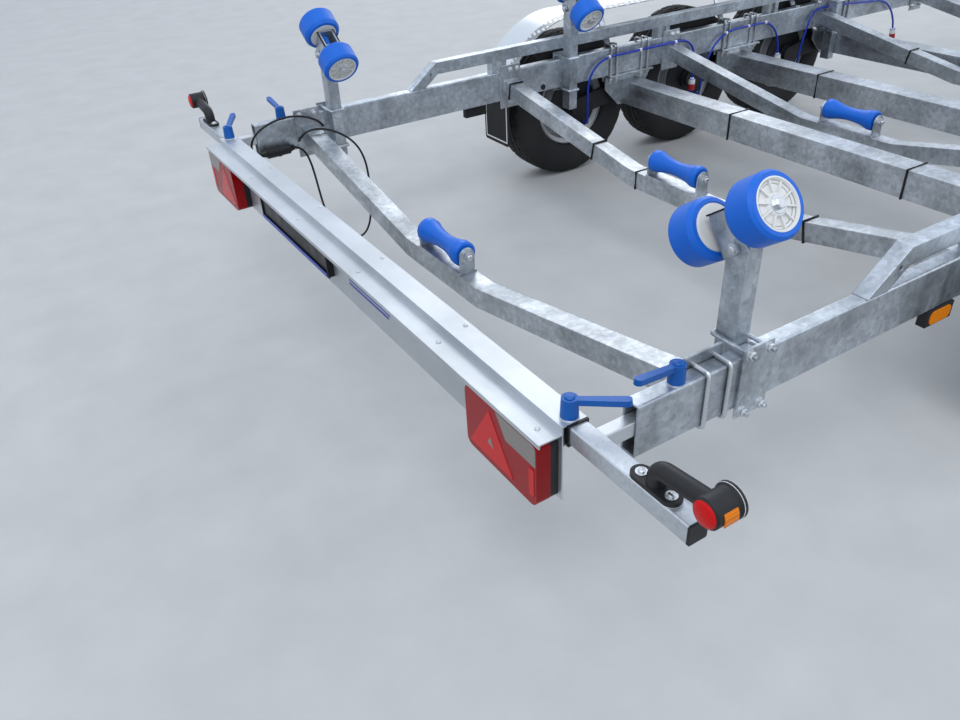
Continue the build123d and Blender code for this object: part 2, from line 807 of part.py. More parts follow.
def clamp_lever(x, y, z, heading):
    """Hub and handle of one clamp lever; heading is the handle's direction in degrees."""
    with Locations((x, y, z + lever_hub_high / 2)):
        Cone(lever_hub, lever_hub - 2, lever_hub_high)
    across = Vector(cos(radians(heading)), sin(radians(heading)), sin(radians(lever_rise)))
    level = Vector(-sin(radians(heading)), cos(radians(heading)), 0)
    foot = (x, y, z + lever_hub_high - lever_thick)
    with BuildSketch(Plane(foot, x_dir=across, z_dir=across.cross(level))) as handle:
        Circle(lever_neck_radius)
        with Locations((lever_length, 0)):
            Circle(lever_end_radius)
        make_hull()
    extrude(handle.sketch, amount=lever_thick - 2)


lever_inset = 20
lever_x = crown_front - 25
rail_lever_place = 110
with BuildPart() as board_levers:
    clamp_lever(lever_x, board_half - lever_inset, crown_top, 60)
    clamp_lever(lever_x, lever_inset - board_half, crown_top, -48)
hand_in(board_levers, "board_levers")

with BuildPart() as rail_levers:
    clamp_lever(along(rail_lever_place), rail_y, rail_top, 90)
    clamp_lever(along(rail_lever_place), -rail_y, rail_top, -176)
hand_in(rail_levers, "rail_levers")

# Side marker lamps under the rails
side_marker_places = [950, 4700]
with BuildPart() as side_markers:
    for place in side_marker_places:
        for side in sides.values():
            with Locations((along(place), side * (rail_outer - 8), rail_bottom - 22)):
                Box(100, 24, 44)
hand_in(side_markers, "side_markers")

# Overrun coupling: housing between the drawbar arms, draw tube and ball head
coupling_z = 500
draw_radius = 25
draw_tube_place = 8120
draw_tube_length = 240
head_place = 8310
head_half = 34
head_x = along(head_place)
ball_z = 462
ball_radius = 25.1
gaiter_rings = 6
gaiter_pitch = 22
gaiter_low = 34
gaiter_high = 44
with BuildPart() as coupling:
    housing_rear = along(7640)
    housing_front = along(8040)
    with BuildSketch(Plane.YZ.offset(housing_rear)):
        with Locations((0, coupling_z)):
            RectangleRounded(2 * drawbar_half, 106, 20)
    extrude(amount=housing_front - housing_rear)
    with Locations(Location((along(draw_tube_place), 0, coupling_z), (0, 90, 0))):
        Cylinder(draw_radius, draw_tube_length)
    with BuildSketch(Plane.XZ.offset(-head_half)):
        with BuildLine():
            FilletPolyline(
                (head_x - 110, coupling_z - 30),
                (head_x - 110, coupling_z + 30),
                (head_x - 30, coupling_z + 34),
                (head_x + 34, coupling_z + 18),
                (head_x + 48, ball_z - 8),
                (head_x - 44, ball_z - 8),
                (head_x - 66, coupling_z - 30),
                radius=9,
                close=True,
            )
        make_face()
    extrude(amount=2 * head_half)
    with Locations((head_x, 0, ball_z)):
        Sphere(ball_radius, mode=Mode.SUBTRACT)
    with Locations((head_x, 0, ball_z - 25)):
        Cylinder(ball_radius, 50, mode=Mode.SUBTRACT)
    with BuildSketch(Plane.XZ.offset(-14)):
        with BuildLine():
            FilletPolyline(
                (head_x - 96, coupling_z + 26),
                (head_x - 44, coupling_z + 26),
                (head_x - 30, coupling_z + 64),
                (head_x + 36, coupling_z + 76),
                (head_x + 32, coupling_z + 92),
                (head_x - 62, coupling_z + 80),
                radius=5,
                close=True,
            )
        make_face()
    extrude(amount=28)
    # rubber gaiter over the draw tube
    with BuildSketch(Plane.XZ):
        with BuildLine():
            gaiter_points = [(housing_front, coupling_z + draw_radius)]
            for ring in range(gaiter_rings):
                ring_x = housing_front + ring * gaiter_pitch
                gaiter_points.append((ring_x, coupling_z + gaiter_low))
                gaiter_points.append((ring_x + gaiter_pitch / 2, coupling_z + gaiter_high))
            gaiter_end = housing_front + gaiter_rings * gaiter_pitch
            gaiter_points.append((gaiter_end, coupling_z + gaiter_low))
            gaiter_points.append((gaiter_end, coupling_z + draw_radius))
            Polyline(*gaiter_points, close=True)
        make_face()
    revolve(axis=Axis((housing_front, 0, coupling_z), (1, 0, 0)))
hand_in(coupling, "coupling")

# Handbrake lever, hinged on a pin beside the housing
brake_angle = 68
brake_length = 430
brake_y = brake_lug_y + brake_lug + 5
brake_thick = 10
with BuildPart() as handbrake_lever:
    lever_plane = Plane(
        origin=(brake_x, brake_y, brake_z),
        x_dir=(cos(radians(brake_angle)), 0, sin(radians(brake_angle))),
        z_dir=(0, 1, 0),
    )
    with BuildSketch(lever_plane):
        Circle(24)
        with Locations((brake_length / 2, 0)):
            Rectangle(brake_length, 26)
        Circle(brake_pin_radius + pin_gap, mode=Mode.SUBTRACT)
    extrude(amount=brake_thick)
    grip_start = lever_plane.from_local_coords((brake_length - 120, 0, brake_thick / 2))
    with BuildSketch(Plane(grip_start, z_dir=lever_plane.x_dir)):
        Circle(16)
    extrude(amount=130)
hand_in(handbrake_lever, "handbrake_lever")

# Jockey wheel: clamp and outer tube, sliding leg, swivelling fork and wheel
jack_place = 7200
jack_x = along(jack_place)
jack_y = drawbar_inner(jack_place) + rail_width + 62
sleeve_radius = 30
sleeve_low = 415
sleeve_high = 900
leg_radius = 24
leg_low = 236
leg_high = 720
jack_wheel_radius = 110
jack_trail = 42
fork_half = 34
with BuildPart() as jockey_sleeve:
    with Locations((jack_x, jack_y, (sleeve_low + sleeve_high) / 2)):
        Cylinder(sleeve_radius, sleeve_high - sleeve_low)
    with BuildSketch(Plane.XY.offset(rail_top - 105)):
        with BuildLine():
            Polyline(
                (jack_x - 45, drawbar_inner(jack_place - 45) + rail_width),
                (jack_x - 24, jack_y),
                (jack_x + 24, jack_y),
                (jack_x + 45, drawbar_inner(jack_place + 45) + rail_width),
                close=True,
            )
        make_face()
    extrude(amount=90)
    with Locations((jack_x, jack_y, sleeve_low + 240)):
        Cylinder(leg_radius + pin_gap, 480, mode=Mode.SUBTRACT)
    with Locations((jack_x, jack_y, sleeve_high + 18)):
        Cylinder(12, 40)
    with Locations((jack_x + 60, jack_y, sleeve_high + 34)):
        Box(130, 16, 8)
    with Locations((jack_x + 118, jack_y, sleeve_high + 74)):
        Cylinder(11, 80)
hand_in(jockey_sleeve, "jockey_sleeve")

with BuildPart() as jockey_leg:
    with Locations((jack_x, jack_y, (leg_low + leg_high) / 2)):
        Cylinder(leg_radius, leg_high - leg_low)
    with Locations((jack_x, jack_y, leg_low - 6)):
        Cylinder(10, 22)
hand_in(jockey_leg, "jockey_leg")

wheel_axis_x = jack_x - jack_trail
with BuildPart() as jockey_fork:
    with Locations((jack_x, jack_y, leg_low - 8)):
        Cylinder(30, 14)
        Cylinder(10 + pin_gap, 14, mode=Mode.SUBTRACT)
    for half in (-1, 1):
        with BuildSketch(Plane.XZ.offset(-(jack_y + half * fork_half))):
            with BuildLine():
                Polyline(
                    (jack_x + 26, leg_low - 2),
                    (jack_x + 26, leg_low - 15),
                    (wheel_axis_x + 16, jack_wheel_radius - 10),
                    (wheel_axis_x - 16, jack_wheel_radius - 10),
                    (wheel_axis_x - 20, jack_wheel_radius + 10),
                    (jack_x - 34, leg_low - 2),
                    close=True,
                )
            make_face()
        extrude(amount=-half * 5)
    with Locations((jack_x - 4, jack_y, leg_low - 8)):
        Box(60, 2 * fork_half + 4, 12)
    with Locations((jack_x, jack_y, leg_low - 8)):
        Cylinder(10 + pin_gap, 14, mode=Mode.SUBTRACT)
    with Locations(Location((wheel_axis_x, jack_y, jack_wheel_radius), (90, 0, 0))):
        Cylinder(8, 2 * fork_half + 20)
hand_in(jockey_fork, "jockey_fork")

with BuildPart() as jockey_wheel:
    with BuildSketch(Plane.XY.offset(jack_wheel_radius)):
        with BuildLine():
            x = wheel_axis_x
            y = jack_y
            Polyline(
                (x + 8 + pin_gap, y - 28),
                (x + 26, y - 28),
                (x + 30, y - 12),
                (x + 66, y - 12),
                (x + 74, y - 26),
                (x + 102, y - 26),
                (x + jack_wheel_radius, y - 16),
                (x + jack_wheel_radius, y + 16),
                (x + 102, y + 26),
                (x + 74, y + 26),
                (x + 66, y + 12),
                (x + 30, y + 12),
                (x + 26, y + 28),
                (x + 8 + pin_gap, y + 28),
                close=True,
            )
        make_face()
    revolve(axis=Axis((wheel_axis_x, 0, jack_wheel_radius), (0, 1, 0)))
hand_in(jockey_wheel, "jockey_wheel")

# Flexible lines: straight runs joined by arcs that fill nearly half of the shorter run
arc_share = 0.45


def bend_radii(points, name):
    """Radius of the arc at each corner of a flexible line."""
    radii = []
    for before, corner, after in zip(points, points[1:], points[2:]):
        run_in = Vector(corner) - Vector(before)
        run_out = Vector(after) - Vector(corner)
        half_turn = radians(run_in.get_angle(run_out)) / 2
        radii.append(arc_share * min(run_in.length, run_out.length) / tan(half_turn))
    print(name, "radii", [round(radius) for radius in radii])
    return radii


def round_tube(points, radius, name):
    """Tube along the points; returns the plane across its far end."""
    with BuildLine():
        route = FilletPolyline(*points, radius=bend_radii(points, name))
    with BuildSketch(Plane(route @ 0, z_dir=route % 0)) as section:
        Circle(radius)
    sweep(section.sketch, path=route)
    print(name, "length", round(route.length))
    return Plane(route @ 1, z_dir=route % 1)


# Flush hoses: from each brake up over the rail's inner face to a coupling that hangs down
hose_radius = 5
hose_y = rail_inner - 15.5
post_hose_y = rail_inner - 12
hose_end_radius = 15
hose_end_length = 56
# Columns: X, Y and Z of each point, X from the rails' rear ends and Z from their top faces
hose_routes = [
    [
        (1519, hose_y, -130),
        (1541, hose_y, -80),
        (1584, hose_y, -44),
        (1640, hose_y, -31),
        (2095, hose_y, -30),
        (2150, hose_y, -66),
        (2163, hose_y, -130),
        (2165, hose_y, -222),
    ],
    [
        (2257, hose_y, -142),
        (2294, hose_y, -84),
        (2350, hose_y, -46),
        (2425, hose_y, -32),
        (2650, hose_y, -33),
        (2715, hose_y, -74),
        (2752, hose_y, -138),
        (2764, hose_y, -206),
    ],
    [
        (2962, post_hose_y, -128),
        (2980, post_hose_y, -66),
        (3018, post_hose_y, -28),
        (3085, post_hose_y, -24),
        (3175, post_hose_y, -25),
        (3290, hose_y, -33),
        (3420, hose_y, -44),
        (3548, hose_y, -52),
        (3615, hose_y, -78),
        (3672, hose_y, -128),
        (3706, hose_y, -186),
        (3716, hose_y, -226),
    ],
]
with BuildPart() as flush_hoses:
    for number, (wheel, route) in enumerate(zip(wheel_x, hose_routes), start=1):
        for side_name, side in sides.items():
            hose_points = [
                (wheel + 62, side * backplate_y, rail_top - 333),
                (wheel + 54, side * (backplate_y - 44), rail_top - 331),
                (wheel + 26, side * (rail_inner + 6), rail_top - 283),
                (wheel + 12, side * (rail_inner - 9), rail_top - 205),
            ]
            for x, y, z in route:
                hose_points.append((along(x), side * y, rail_top + z))
            hose_end = round_tube(hose_points, hose_radius, f"hose_{side_name}_{number}")
            with BuildSketch(hose_end) as coupling_face:
                Circle(hose_end_radius)
            extrude(coupling_face.sketch, amount=hose_end_length)
hand_in(flush_hoses, "flush_hoses")

# Light cable: its connector lies by the left rail, and both leads loop back to the frame
cable_radius = 4
cable_y = rail_inner - 22.5
cable_drop = 100
connector_rear = -5
# Columns: distance along the connector, radius
connector_outline = [
    (0, 9),
    (22, 15),
    (24, 20),
    (66, 20),
    (66, 22),
    (76, 22),
    (76, 19),
    (112, 19),
    (114, 14),
    (130, 9),
]
connector_length = connector_outline[-1][0]
with BuildPart() as cable_connector:
    with BuildSketch(Plane.XY.offset(rail_top - cable_drop)):
        with BuildLine():
            connector_x = along(connector_rear)
            outline = [(connector_x + x, cable_y - radius) for x, radius in connector_outline]
            outline.append((connector_x + connector_length, cable_y))
            outline.append((connector_x, cable_y))
            Polyline(*outline, close=True)
        make_face()
    revolve(axis=Axis((connector_x, cable_y, rail_top - cable_drop), (1, 0, 0)))
hand_in(cable_connector, "cable_connector")

# Columns: X, Y and Z of each point, X from the rails' rear ends and Z from their top faces
front_lead = [
    (connector_rear + connector_length, cable_y, -cable_drop),
    (146, 982, -106),
    (163, 974, -126),
    (172, 965, -160),
    (177, 957, -206),
    (181, 950, -263),
    (186, 944, -323),
    (196, 938, -381),
    (217, 934, -433),
    (250, 931, -476),
    (292, 929, -501),
    (335, 928, -493),
    (361, 927, -456),
    (374, 926, -400),
    (380, 925, -336),
    (382, 924, -269),
    (378, 923, -206),
    (363, 922, -151),
    (335, 922, -106),
    (297, 923, -72),
    (251, 925, -46),
    (206, 929, -33),
    (165, 935, -37),
    (143, 945, -57),
    (139, 960, -74),
    (145, 976, -79),
    (154, 989, -79),
    (157, member_end, -78),
]
rear_lead = [
    (connector_rear, cable_y, -cable_drop),
    (-24, 985, -93),
    (-35, 982, -69),
    (-26, 979, -38),
    (6, 976, -8),
    (58, 973, 12),
    (116, 971, 19),
    (172, 970, 10),
    (215, 970, -10),
    (237, 971, -28),
    (248, 978, -42),
    (254, 991, -50),
    (255, rail_inner, -52),
]
with BuildPart() as light_cable:
    for lead, name in ((front_lead, "front_lead"), (rear_lead, "rear_lead")):
        lead_points = [(along(x), y, rail_top + z) for x, y, z in lead]
        round_tube(lead_points, cable_radius, name)
hand_in(light_cable, "light_cable")

# Winch post: two crossbeams under the drawbar arms, mast, brace, winch cheeks and bow roller arms
mast_place = 6050
brace_place = 6720
mast_size = 80
mast_top = 1060
beam_section = 60
snubber_x = along(mast_place - 300)
snubber_z = 985
snubber_half = 62
winch_x = along(mast_place + 10)
winch_z = mast_top + 86
winch_half = 58
crank_x = winch_x + 70
crank_z = winch_z - 10
with BuildPart() as winch_post:
    for place in (mast_place, brace_place):
        half = drawbar_inner(place) + rail_width + 6
        with Locations((along(place), 0, rail_bottom - beam_section / 2)):
            Box(beam_section, 2 * half, beam_section)
    with Locations((along(mast_place), 0, (rail_bottom + mast_top) / 2)):
        Box(mast_size, mast_size, mast_top - rail_bottom)
    with BuildSketch(Plane.XZ.offset(-25)):
        with BuildLine():
            Polyline(
                (along(brace_place) - 30, rail_bottom),
                (along(brace_place) + 30, rail_bottom),
                (along(mast_place) + mast_size / 2, 930),
                (along(mast_place) + mast_size / 2, 865),
                close=True,
            )
        make_face()
    extrude(amount=50)
    with Locations((winch_x + 20, 0, mast_top + 4)):
        Box(190, 2 * winch_half + 24, 8)
    for half in (-1, 1):
        with BuildSketch(Plane.XZ.offset(-half * winch_half)):
            with BuildLine():
                Polyline(
                    (winch_x - 60, mast_top + 8),
                    (winch_x - 40, winch_z + 30),
                    (winch_x + 20, winch_z + 30),
                    (winch_x + 100, winch_z),
                    (winch_x + 108, mast_top + 8),
                    close=True,
                )
            make_face()
            with Locations((winch_x, winch_z)):
                Circle(10 + pin_gap, mode=Mode.SUBTRACT)
            with Locations((crank_x, crank_z)):
                Circle(8 + pin_gap, mode=Mode.SUBTRACT)
        extrude(amount=-half * 6)
    with Locations(((along(mast_place) + snubber_x) / 2 - 10, 0, snubber_z - 90)):
        Box(along(mast_place) - snubber_x + 20, 60, 50)
    with Locations((snubber_x, 0, snubber_z - 63)):
        Box(60, 2 * snubber_half + 12, 6)
    for half in (-1, 1):
        with BuildSketch(Plane.XZ.offset(-half * snubber_half)):
            with Locations((snubber_x, snubber_z - 33)):
                Rectangle(60, 66)
            with Locations((snubber_x, snubber_z)):
                Circle(30)
        extrude(amount=-half * 6)
    with Locations(Location((snubber_x, 0, snubber_z), (90, 0, 0))):
        Cylinder(10, 2 * snubber_half + 30)
hand_in(winch_post, "winch_post")

with BuildPart() as bow_roller:
    with BuildSketch(Plane.XY.offset(snubber_z)):
        with BuildLine():
            half = snubber_half - 5
            x = snubber_x
            Polyline(
                (x + 10 + pin_gap, -half),
                (x + 50, -half),
                (x + 52, -half + 12),
                (x + 30, 0),
                (x + 52, half - 12),
                (x + 50, half),
                (x + 10 + pin_gap, half),
                close=True,
            )
        make_face()
    revolve(axis=Axis((snubber_x, 0, snubber_z), (0, 1, 0)))
hand_in(bow_roller, "bow_roller")

with BuildPart() as winch_drum:
    with Locations(Location((winch_x, 0, winch_z), (90, 0, 0))):
        Cylinder(10, 2 * winch_half + 30)
        Cylinder(48, 2 * winch_half - 24)
    for half in (-1, 1):
        with Locations(Location((winch_x, half * (winch_half - 8), winch_z), (90, 0, 0))):
            Cylinder(56, 4)
hand_in(winch_drum, "winch_drum")

crank_y = winch_half + 34
with BuildPart() as winch_crank:
    with Locations(Location((crank_x, -16, crank_z), (90, 0, 0))):
        Cylinder(8, 2 * winch_half + 60)
    with Locations((crank_x, -crank_y, crank_z + 95)):
        Box(26, 8, 220)
    with Locations(Location((crank_x, -crank_y - 50, crank_z + 190), (90, 0, 0))):
        Cylinder(14, 100)
hand_in(winch_crank, "winch_crank")
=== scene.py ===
import bmesh
import bpy
from itertools import product
from math import acos, cos, pi, radians, sin, sqrt, tan
from mathutils import Matrix, Vector


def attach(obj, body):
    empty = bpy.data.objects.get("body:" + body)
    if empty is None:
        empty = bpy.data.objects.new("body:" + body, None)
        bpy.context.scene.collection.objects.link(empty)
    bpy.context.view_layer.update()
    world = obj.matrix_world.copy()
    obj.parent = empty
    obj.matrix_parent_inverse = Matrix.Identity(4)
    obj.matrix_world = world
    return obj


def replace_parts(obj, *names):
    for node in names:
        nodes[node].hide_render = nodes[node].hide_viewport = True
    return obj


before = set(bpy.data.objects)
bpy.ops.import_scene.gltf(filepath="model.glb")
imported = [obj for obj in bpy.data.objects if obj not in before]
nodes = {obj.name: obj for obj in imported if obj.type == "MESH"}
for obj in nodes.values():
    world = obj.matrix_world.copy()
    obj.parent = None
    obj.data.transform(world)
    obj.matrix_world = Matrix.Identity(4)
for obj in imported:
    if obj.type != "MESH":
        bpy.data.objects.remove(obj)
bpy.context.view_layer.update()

# Places shared with the part, in metres
rail_rear = -4.090
rail_top = 0.565
rail_bottom = 0.445
rail_inner = 1.008
rail_outer = 1.048
wheel_z = 0.320
rear_wheel_place = 1.513
wheel_spacing = 0.710
station_names = ["rear", "middle", "front"]
wheel_x = [rail_rear + rear_wheel_place + wheel_spacing * step for step in range(3)]
sides = {"left": 1, "right": -1}
forward = Vector((1, 0, 0))
upward = Vector((0, 0, 1))

# Side posts: place, distance from the middle, and drop of the lower clamp bolt
front_post_place = 3.128
post_table = [
    (0.303, 0.983, 0.128),
    (1.410, 0.983, 0.128),
    (front_post_place, 0.965, 0.138),
]


def along(distance):
    """X of a place that lies this far ahead of the rails' rear ends."""
    return rail_rear + distance


def each_wheel():
    """Name, side and X of every wheel."""
    for side_name, side in sides.items():
        for station, x in zip(station_names, wheel_x):
            yield f"{side_name}_{station}", side, x


def each_bracket():
    """Name, side, X and distance from the middle of every tilting bracket."""
    for side_name, side in sides.items():
        for number, (place, post_y, _) in enumerate(post_table, start=1):
            yield f"{side_name}_{number}", side, along(place), post_y


def add_object(name, data):
    made = bpy.data.objects.new(name, data)
    bpy.context.collection.objects.link(made)
    return made


# Node helpers for the materials
class Shader:
    """A new material with a short way to add and link nodes."""

    def __init__(self, name):
        self.material = bpy.data.materials.new(name)
        self.material.use_nodes = True
        self.tree = self.material.node_tree
        self.tree.nodes.clear()
        self.surface = self.node("BsdfPrincipled")
        output = self.node("OutputMaterial")
        self.tree.links.new(self.surface.outputs[0], output.inputs["Surface"])
        self.coords = self.node("TexCoord").outputs["Object"]

    def put(self, target, value):
        """Set a socket, or link it when the value is a socket itself."""
        if isinstance(value, bpy.types.NodeSocket):
            self.tree.links.new(value, target)
        else:
            target.default_value = value

    def fill(self, node, inputs):
        for key, value in inputs.items():
            self.put(node.inputs[key.replace("_", " ").title()], value)

    def node(self, kind, **inputs):
        """A new node of one kind, with the named inputs set or linked."""
        made = self.tree.nodes.new(f"ShaderNode{kind}")
        self.fill(made, inputs)
        return made

    def set(self, **inputs):
        self.fill(self.surface, inputs)

    def gloss(self, level):
        self.surface.inputs["Specular IOR Level"].default_value = level

    def moved(self, scale, turn=(0, 0, 0)):
        return self.node("Mapping", vector=self.coords, scale=scale, rotation=turn).outputs[0]

    def noise(self, scale, detail=4, rough=0.55, coords=None):
        place = coords or self.coords
        node = self.node("TexNoise", vector=place, scale=scale, detail=detail, roughness=rough)
        return node.outputs["Fac"]

    def cells(self, scale):
        return self.node("TexVoronoi", vector=self.coords, scale=scale).outputs["Color"]

    def wave(self, scale, direction, coords):
        node = self.node("TexWave", vector=coords, scale=scale)
        node.bands_direction = direction
        return node.outputs["Fac"]

    def spread(self, value, low, high, start=0.0, end=1.0):
        """Map start..end of a value to low..high."""
        node = self.node("MapRange", value=value, from_min=start, from_max=end, to_min=low, to_max=high)
        return node.outputs["Result"]

    def mix(self, amount, first, second, blend="MIX"):
        node = self.tree.nodes.new("ShaderNodeMix")
        node.data_type = "RGBA"
        node.blend_type = blend
        self.put(node.inputs["Factor"], amount)
        for target, tone in zip(node.inputs[6:8], (first, second)):
            self.put(target, tone if isinstance(tone, bpy.types.NodeSocket) else (*tone, 1))
        return node.outputs[2]

    def blend(self, value, start, end, first, second, most=1):
        """First tone where the value is under start, and up to most of the second past end."""
        return self.mix(self.spread(value, 0, most, start, end), first, second)

    def math(self, operation, first, second=0.0):
        node = self.tree.nodes.new("ShaderNodeMath")
        node.operation = operation
        self.put(node.inputs[0], first)
        self.put(node.inputs[1], second)
        return node.outputs[0]

    def axis(self, letter, coords=None):
        return self.node("SeparateXYZ", vector=coords or self.coords).outputs[letter]

    def soft_edges(self, radius):
        """Normals that round the sharp edges of a tube or folded sheet."""
        node = self.node("Bevel", radius=radius)
        node.samples = 4
        return node.outputs[0]

    def bump(self, height, distance, strength, under=None):
        node = self.node("Bump", height=height, distance=distance, strength=strength)
        if under is not None:
            self.tree.links.new(under, node.inputs["Normal"])
        return node.outputs[0]


def scaled(tone, share):
    """A tone made darker or paler, and never past full white."""
    return tuple(min(1, share * part) for part in tone)


def galvanised(name, tone=(0.47, 0.51, 0.55), streak_axis=2):
    """Hot-dip zinc: small spangles, dark mottling, streaks and uneven gloss."""
    shader = Shader(name)
    stretch = [9, 9, 9]
    stretch[streak_axis] = 1.2
    streaks = shader.noise(3.0, 6, 0.6, shader.moved(stretch))
    clouds = shader.noise(6.0, 6, 0.65)
    spots = shader.noise(85, 4, 0.6)
    base = shader.blend(clouds, 0.36, 0.64, scaled(tone, 0.62), scaled(tone, 1.28))
    base = shader.blend(streaks, 0.42, 0.7, base, tone, 0.62)
    base = shader.blend(spots, 0.50, 0.75, base, scaled(tone, 0.45), 0.35)
    spangle = shader.spread(shader.axis("X", shader.cells(75)), 0.85, 1.12)
    shader.set(base_color=shader.mix(1.0, base, spangle, "MULTIPLY"), metallic=0.90)
    shader.set(roughness=shader.spread(streaks, 0.27, 0.48, 0.3, 0.75))
    fine = shader.bump(shader.noise(420, 3), 0.0004, 0.25, shader.soft_edges(0.004))
    shader.set(normal=shader.bump(clouds, 0.003, 0.20, fine))
    return shader.material


def plain_metal(name, tone, rough, metallic, grain, depth=0.0003, shade=0.82):
    """Rolled or machined metal with a fine grain along one axis."""
    shader = Shader(name)
    lines = shader.noise(14, 4, 0.6, shader.moved(grain))
    shader.set(base_color=shader.blend(shader.noise(3, 4), 0.3, 0.7, scaled(tone, shade), tone))
    shader.set(metallic=metallic, roughness=shader.spread(lines, *rough, 0.3, 0.7))
    shader.set(normal=shader.bump(lines, depth, 0.35, shader.soft_edges(0.0015)))
    return shader.material


def plastic(name, tone, rough=(0.28, 0.45), coat=0.0, speck=260, depth=0.0004, shade=0.7):
    """Moulded plastic or paint with a faint orange peel and handling marks."""
    shader = Shader(name)
    shader.set(base_color=shader.blend(shader.noise(6, 5), 0.25, 0.75, scaled(tone, shade), tone))
    shader.set(roughness=shader.spread(shader.noise(18, 4), *rough, 0.3, 0.7), coat_weight=coat)
    shader.gloss(0.3)
    shader.set(normal=shader.bump(shader.noise(speck, 3), depth, 0.3, shader.soft_edges(0.0015)))
    return shader.material


def rubber(name, dusty):
    """Dull rubber with patches of dust."""
    shader = Shader(name)
    clouds = shader.noise(7, 6, 0.65)
    black = (0.010, 0.010, 0.011)
    dust = (0.060, 0.056, 0.050)
    shader.set(base_color=shader.blend(clouds, 0.42, 0.75, black, dust, dusty))
    shader.set(roughness=shader.spread(clouds, 0.55, 0.85, 0.3, 0.7))
    shader.gloss(0.3)
    shader.set(normal=shader.bump(shader.noise(300, 3), 0.0005, 0.35))
    return shader.material


def lens(name, tone, deep):
    """Lamp lens: glossy plastic over a grid of small prisms."""
    shader = Shader(name)
    coords = shader.moved((170, 170, 170))
    prisms = shader.math("MULTIPLY", shader.wave(1.0, "Y", coords), shader.wave(1.0, "Z", coords))
    shader.set(base_color=shader.blend(prisms, 0.0, 0.9, deep, tone), roughness=0.16)
    shader.gloss(0.18)
    shader.set(normal=shader.bump(prisms, 0.0008, 0.25))
    return shader.material


def bright_sheet(name, margin_end):
    """Mill-bright aluminium sheet that is tread plate nearer to the middle than margin_end, with painted
    shade on the ground between its raised bars.
    """
    shader = Shader(name)
    margin = shader.math("LESS_THAN", shader.math("ABSOLUTE", shader.axis("Y")), margin_end)
    turned = shader.moved((32, 32, 32), (radians(35), radians(30), radians(45)))
    bars = shader.math("MULTIPLY", shader.wave(0.5, "X", turned), shader.wave(0.22, "Y", turned))
    raised = shader.math("MULTIPLY", shader.spread(bars, 0, 1, 0.25, 0.5), margin)
    # Painted shade: the low ground between the raised bars is coloured far darker than the bars and the
    # plain sheet
    tread = shader.mix(raised, (0.26, 0.27, 0.28), (0.56, 0.58, 0.60))
    plain = shader.blend(shader.noise(2.5, 5), 0.3, 0.7, (0.50, 0.53, 0.56), (0.64, 0.67, 0.70))
    shader.set(base_color=shader.mix(margin, plain, tread), metallic=0.92)
    grain = shader.noise(20, 3, 0.5, shader.moved((3, 60, 60)))
    shader.set(roughness=shader.spread(grain, 0.24, 0.40, 0.3, 0.7))
    shader.set(normal=shader.bump(raised, 0.0016, 0.9, shader.bump(grain, 0.0002, 0.2)))
    return shader.material


def black_coupling(name, seam):
    """Black coated steel ahead of the seam, and the dull rubber of the gaiter behind it."""
    shader = Shader(name)
    black = (0.020, 0.020, 0.022)
    behind = shader.math("LESS_THAN", shader.axis("X"), seam)
    clouds = shader.noise(6, 5)
    dust = shader.blend(clouds, 0.42, 0.75, black, (0.08, 0.076, 0.07), 0.3)
    shader.set(base_color=shader.mix(behind, black, dust))
    duller = shader.math("MULTIPLY", behind, 0.3)
    shader.set(roughness=shader.math("ADD", shader.spread(clouds, 0.32, 0.48), duller))
    shader.set(normal=shader.bump(shader.noise(280, 3), 0.0004, 0.3))
    return shader.material


def steel_under_rubber(name, height):
    """Galvanised tube whose rubber lamp stalk starts at a height."""
    shader = Shader(name)
    above = shader.math("GREATER_THAN", shader.axis("Z"), height)
    streaks = shader.noise(3.0, 6, 0.6, shader.moved((9, 1.2, 9)))
    zinc_tone = shader.blend(shader.noise(2.3, 5, 0.6), 0.35, 0.68, (0.38, 0.41, 0.44), (0.62, 0.66, 0.70))
    zinc_tone = shader.blend(shader.noise(95, 4, 0.6), 0.45, 0.75, zinc_tone, (0.22, 0.24, 0.26), 0.30)
    shader.set(base_color=shader.mix(above, zinc_tone, (0.009, 0.009, 0.010)))
    shader.gloss(0.35)
    shader.set(metallic=shader.math("MULTIPLY", shader.math("SUBTRACT", 1.0, above), 0.78))
    zinc_rough = shader.spread(streaks, 0.30, 0.50, 0.3, 0.75)
    shader.set(roughness=shader.math("ADD", zinc_rough, shader.math("MULTIPLY", above, 0.1)))
    shader.set(normal=shader.bump(shader.noise(340, 3), 0.0005, 0.3, shader.soft_edges(0.002)))
    return shader.material


steel = galvanised("galvanised_steel")
steel_bars = galvanised("galvanised_beams", (0.45, 0.48, 0.51), streak_axis=1)
steel_dull = galvanised("galvanised_dull", (0.40, 0.42, 0.43))
zinc = plain_metal("zinc_plated", (0.62, 0.64, 0.66), (0.22, 0.38), 0.9, (30, 30, 30))
aluminium = plain_metal("extruded_aluminium", (0.60, 0.63, 0.66), (0.34, 0.50), 0.85, (60, 1.5, 60),
                        depth=0.0004, shade=0.74)
sheet_metal = bright_sheet("bright_sheet", 1.122)
black_rubber = rubber("black_rubber", 0.12)
tyre_rubber = rubber("tyre_rubber", 0.30)
black_steel = plastic("black_coated_steel", (0.013, 0.013, 0.015), (0.35, 0.55))
black_plastic = plastic("black_plastic", (0.009, 0.009, 0.010), (0.3, 0.5))
cable_black = plastic("cable_black", (0.007, 0.007, 0.008), (0.35, 0.5))
roller_blue = plastic("roller_blue", (0.002, 0.115, 0.56), (0.34, 0.50), speck=90, depth=0.0006, shade=0.8)
lever_blue = plastic("lever_blue", (0.002, 0.085, 0.35), (0.26, 0.38))
hose_blue = plastic("hose_blue", (0.003, 0.030, 0.36), (0.26, 0.36), coat=0.1)
stripe_blue = plastic("stripe_blue", (0.010, 0.040, 0.36), (0.28, 0.36), coat=0.2)
hub_white = plastic("hub_white", (0.72, 0.72, 0.70), (0.35, 0.5))
tie_white = plastic("tie_white", (0.72, 0.74, 0.76), (0.3, 0.45))
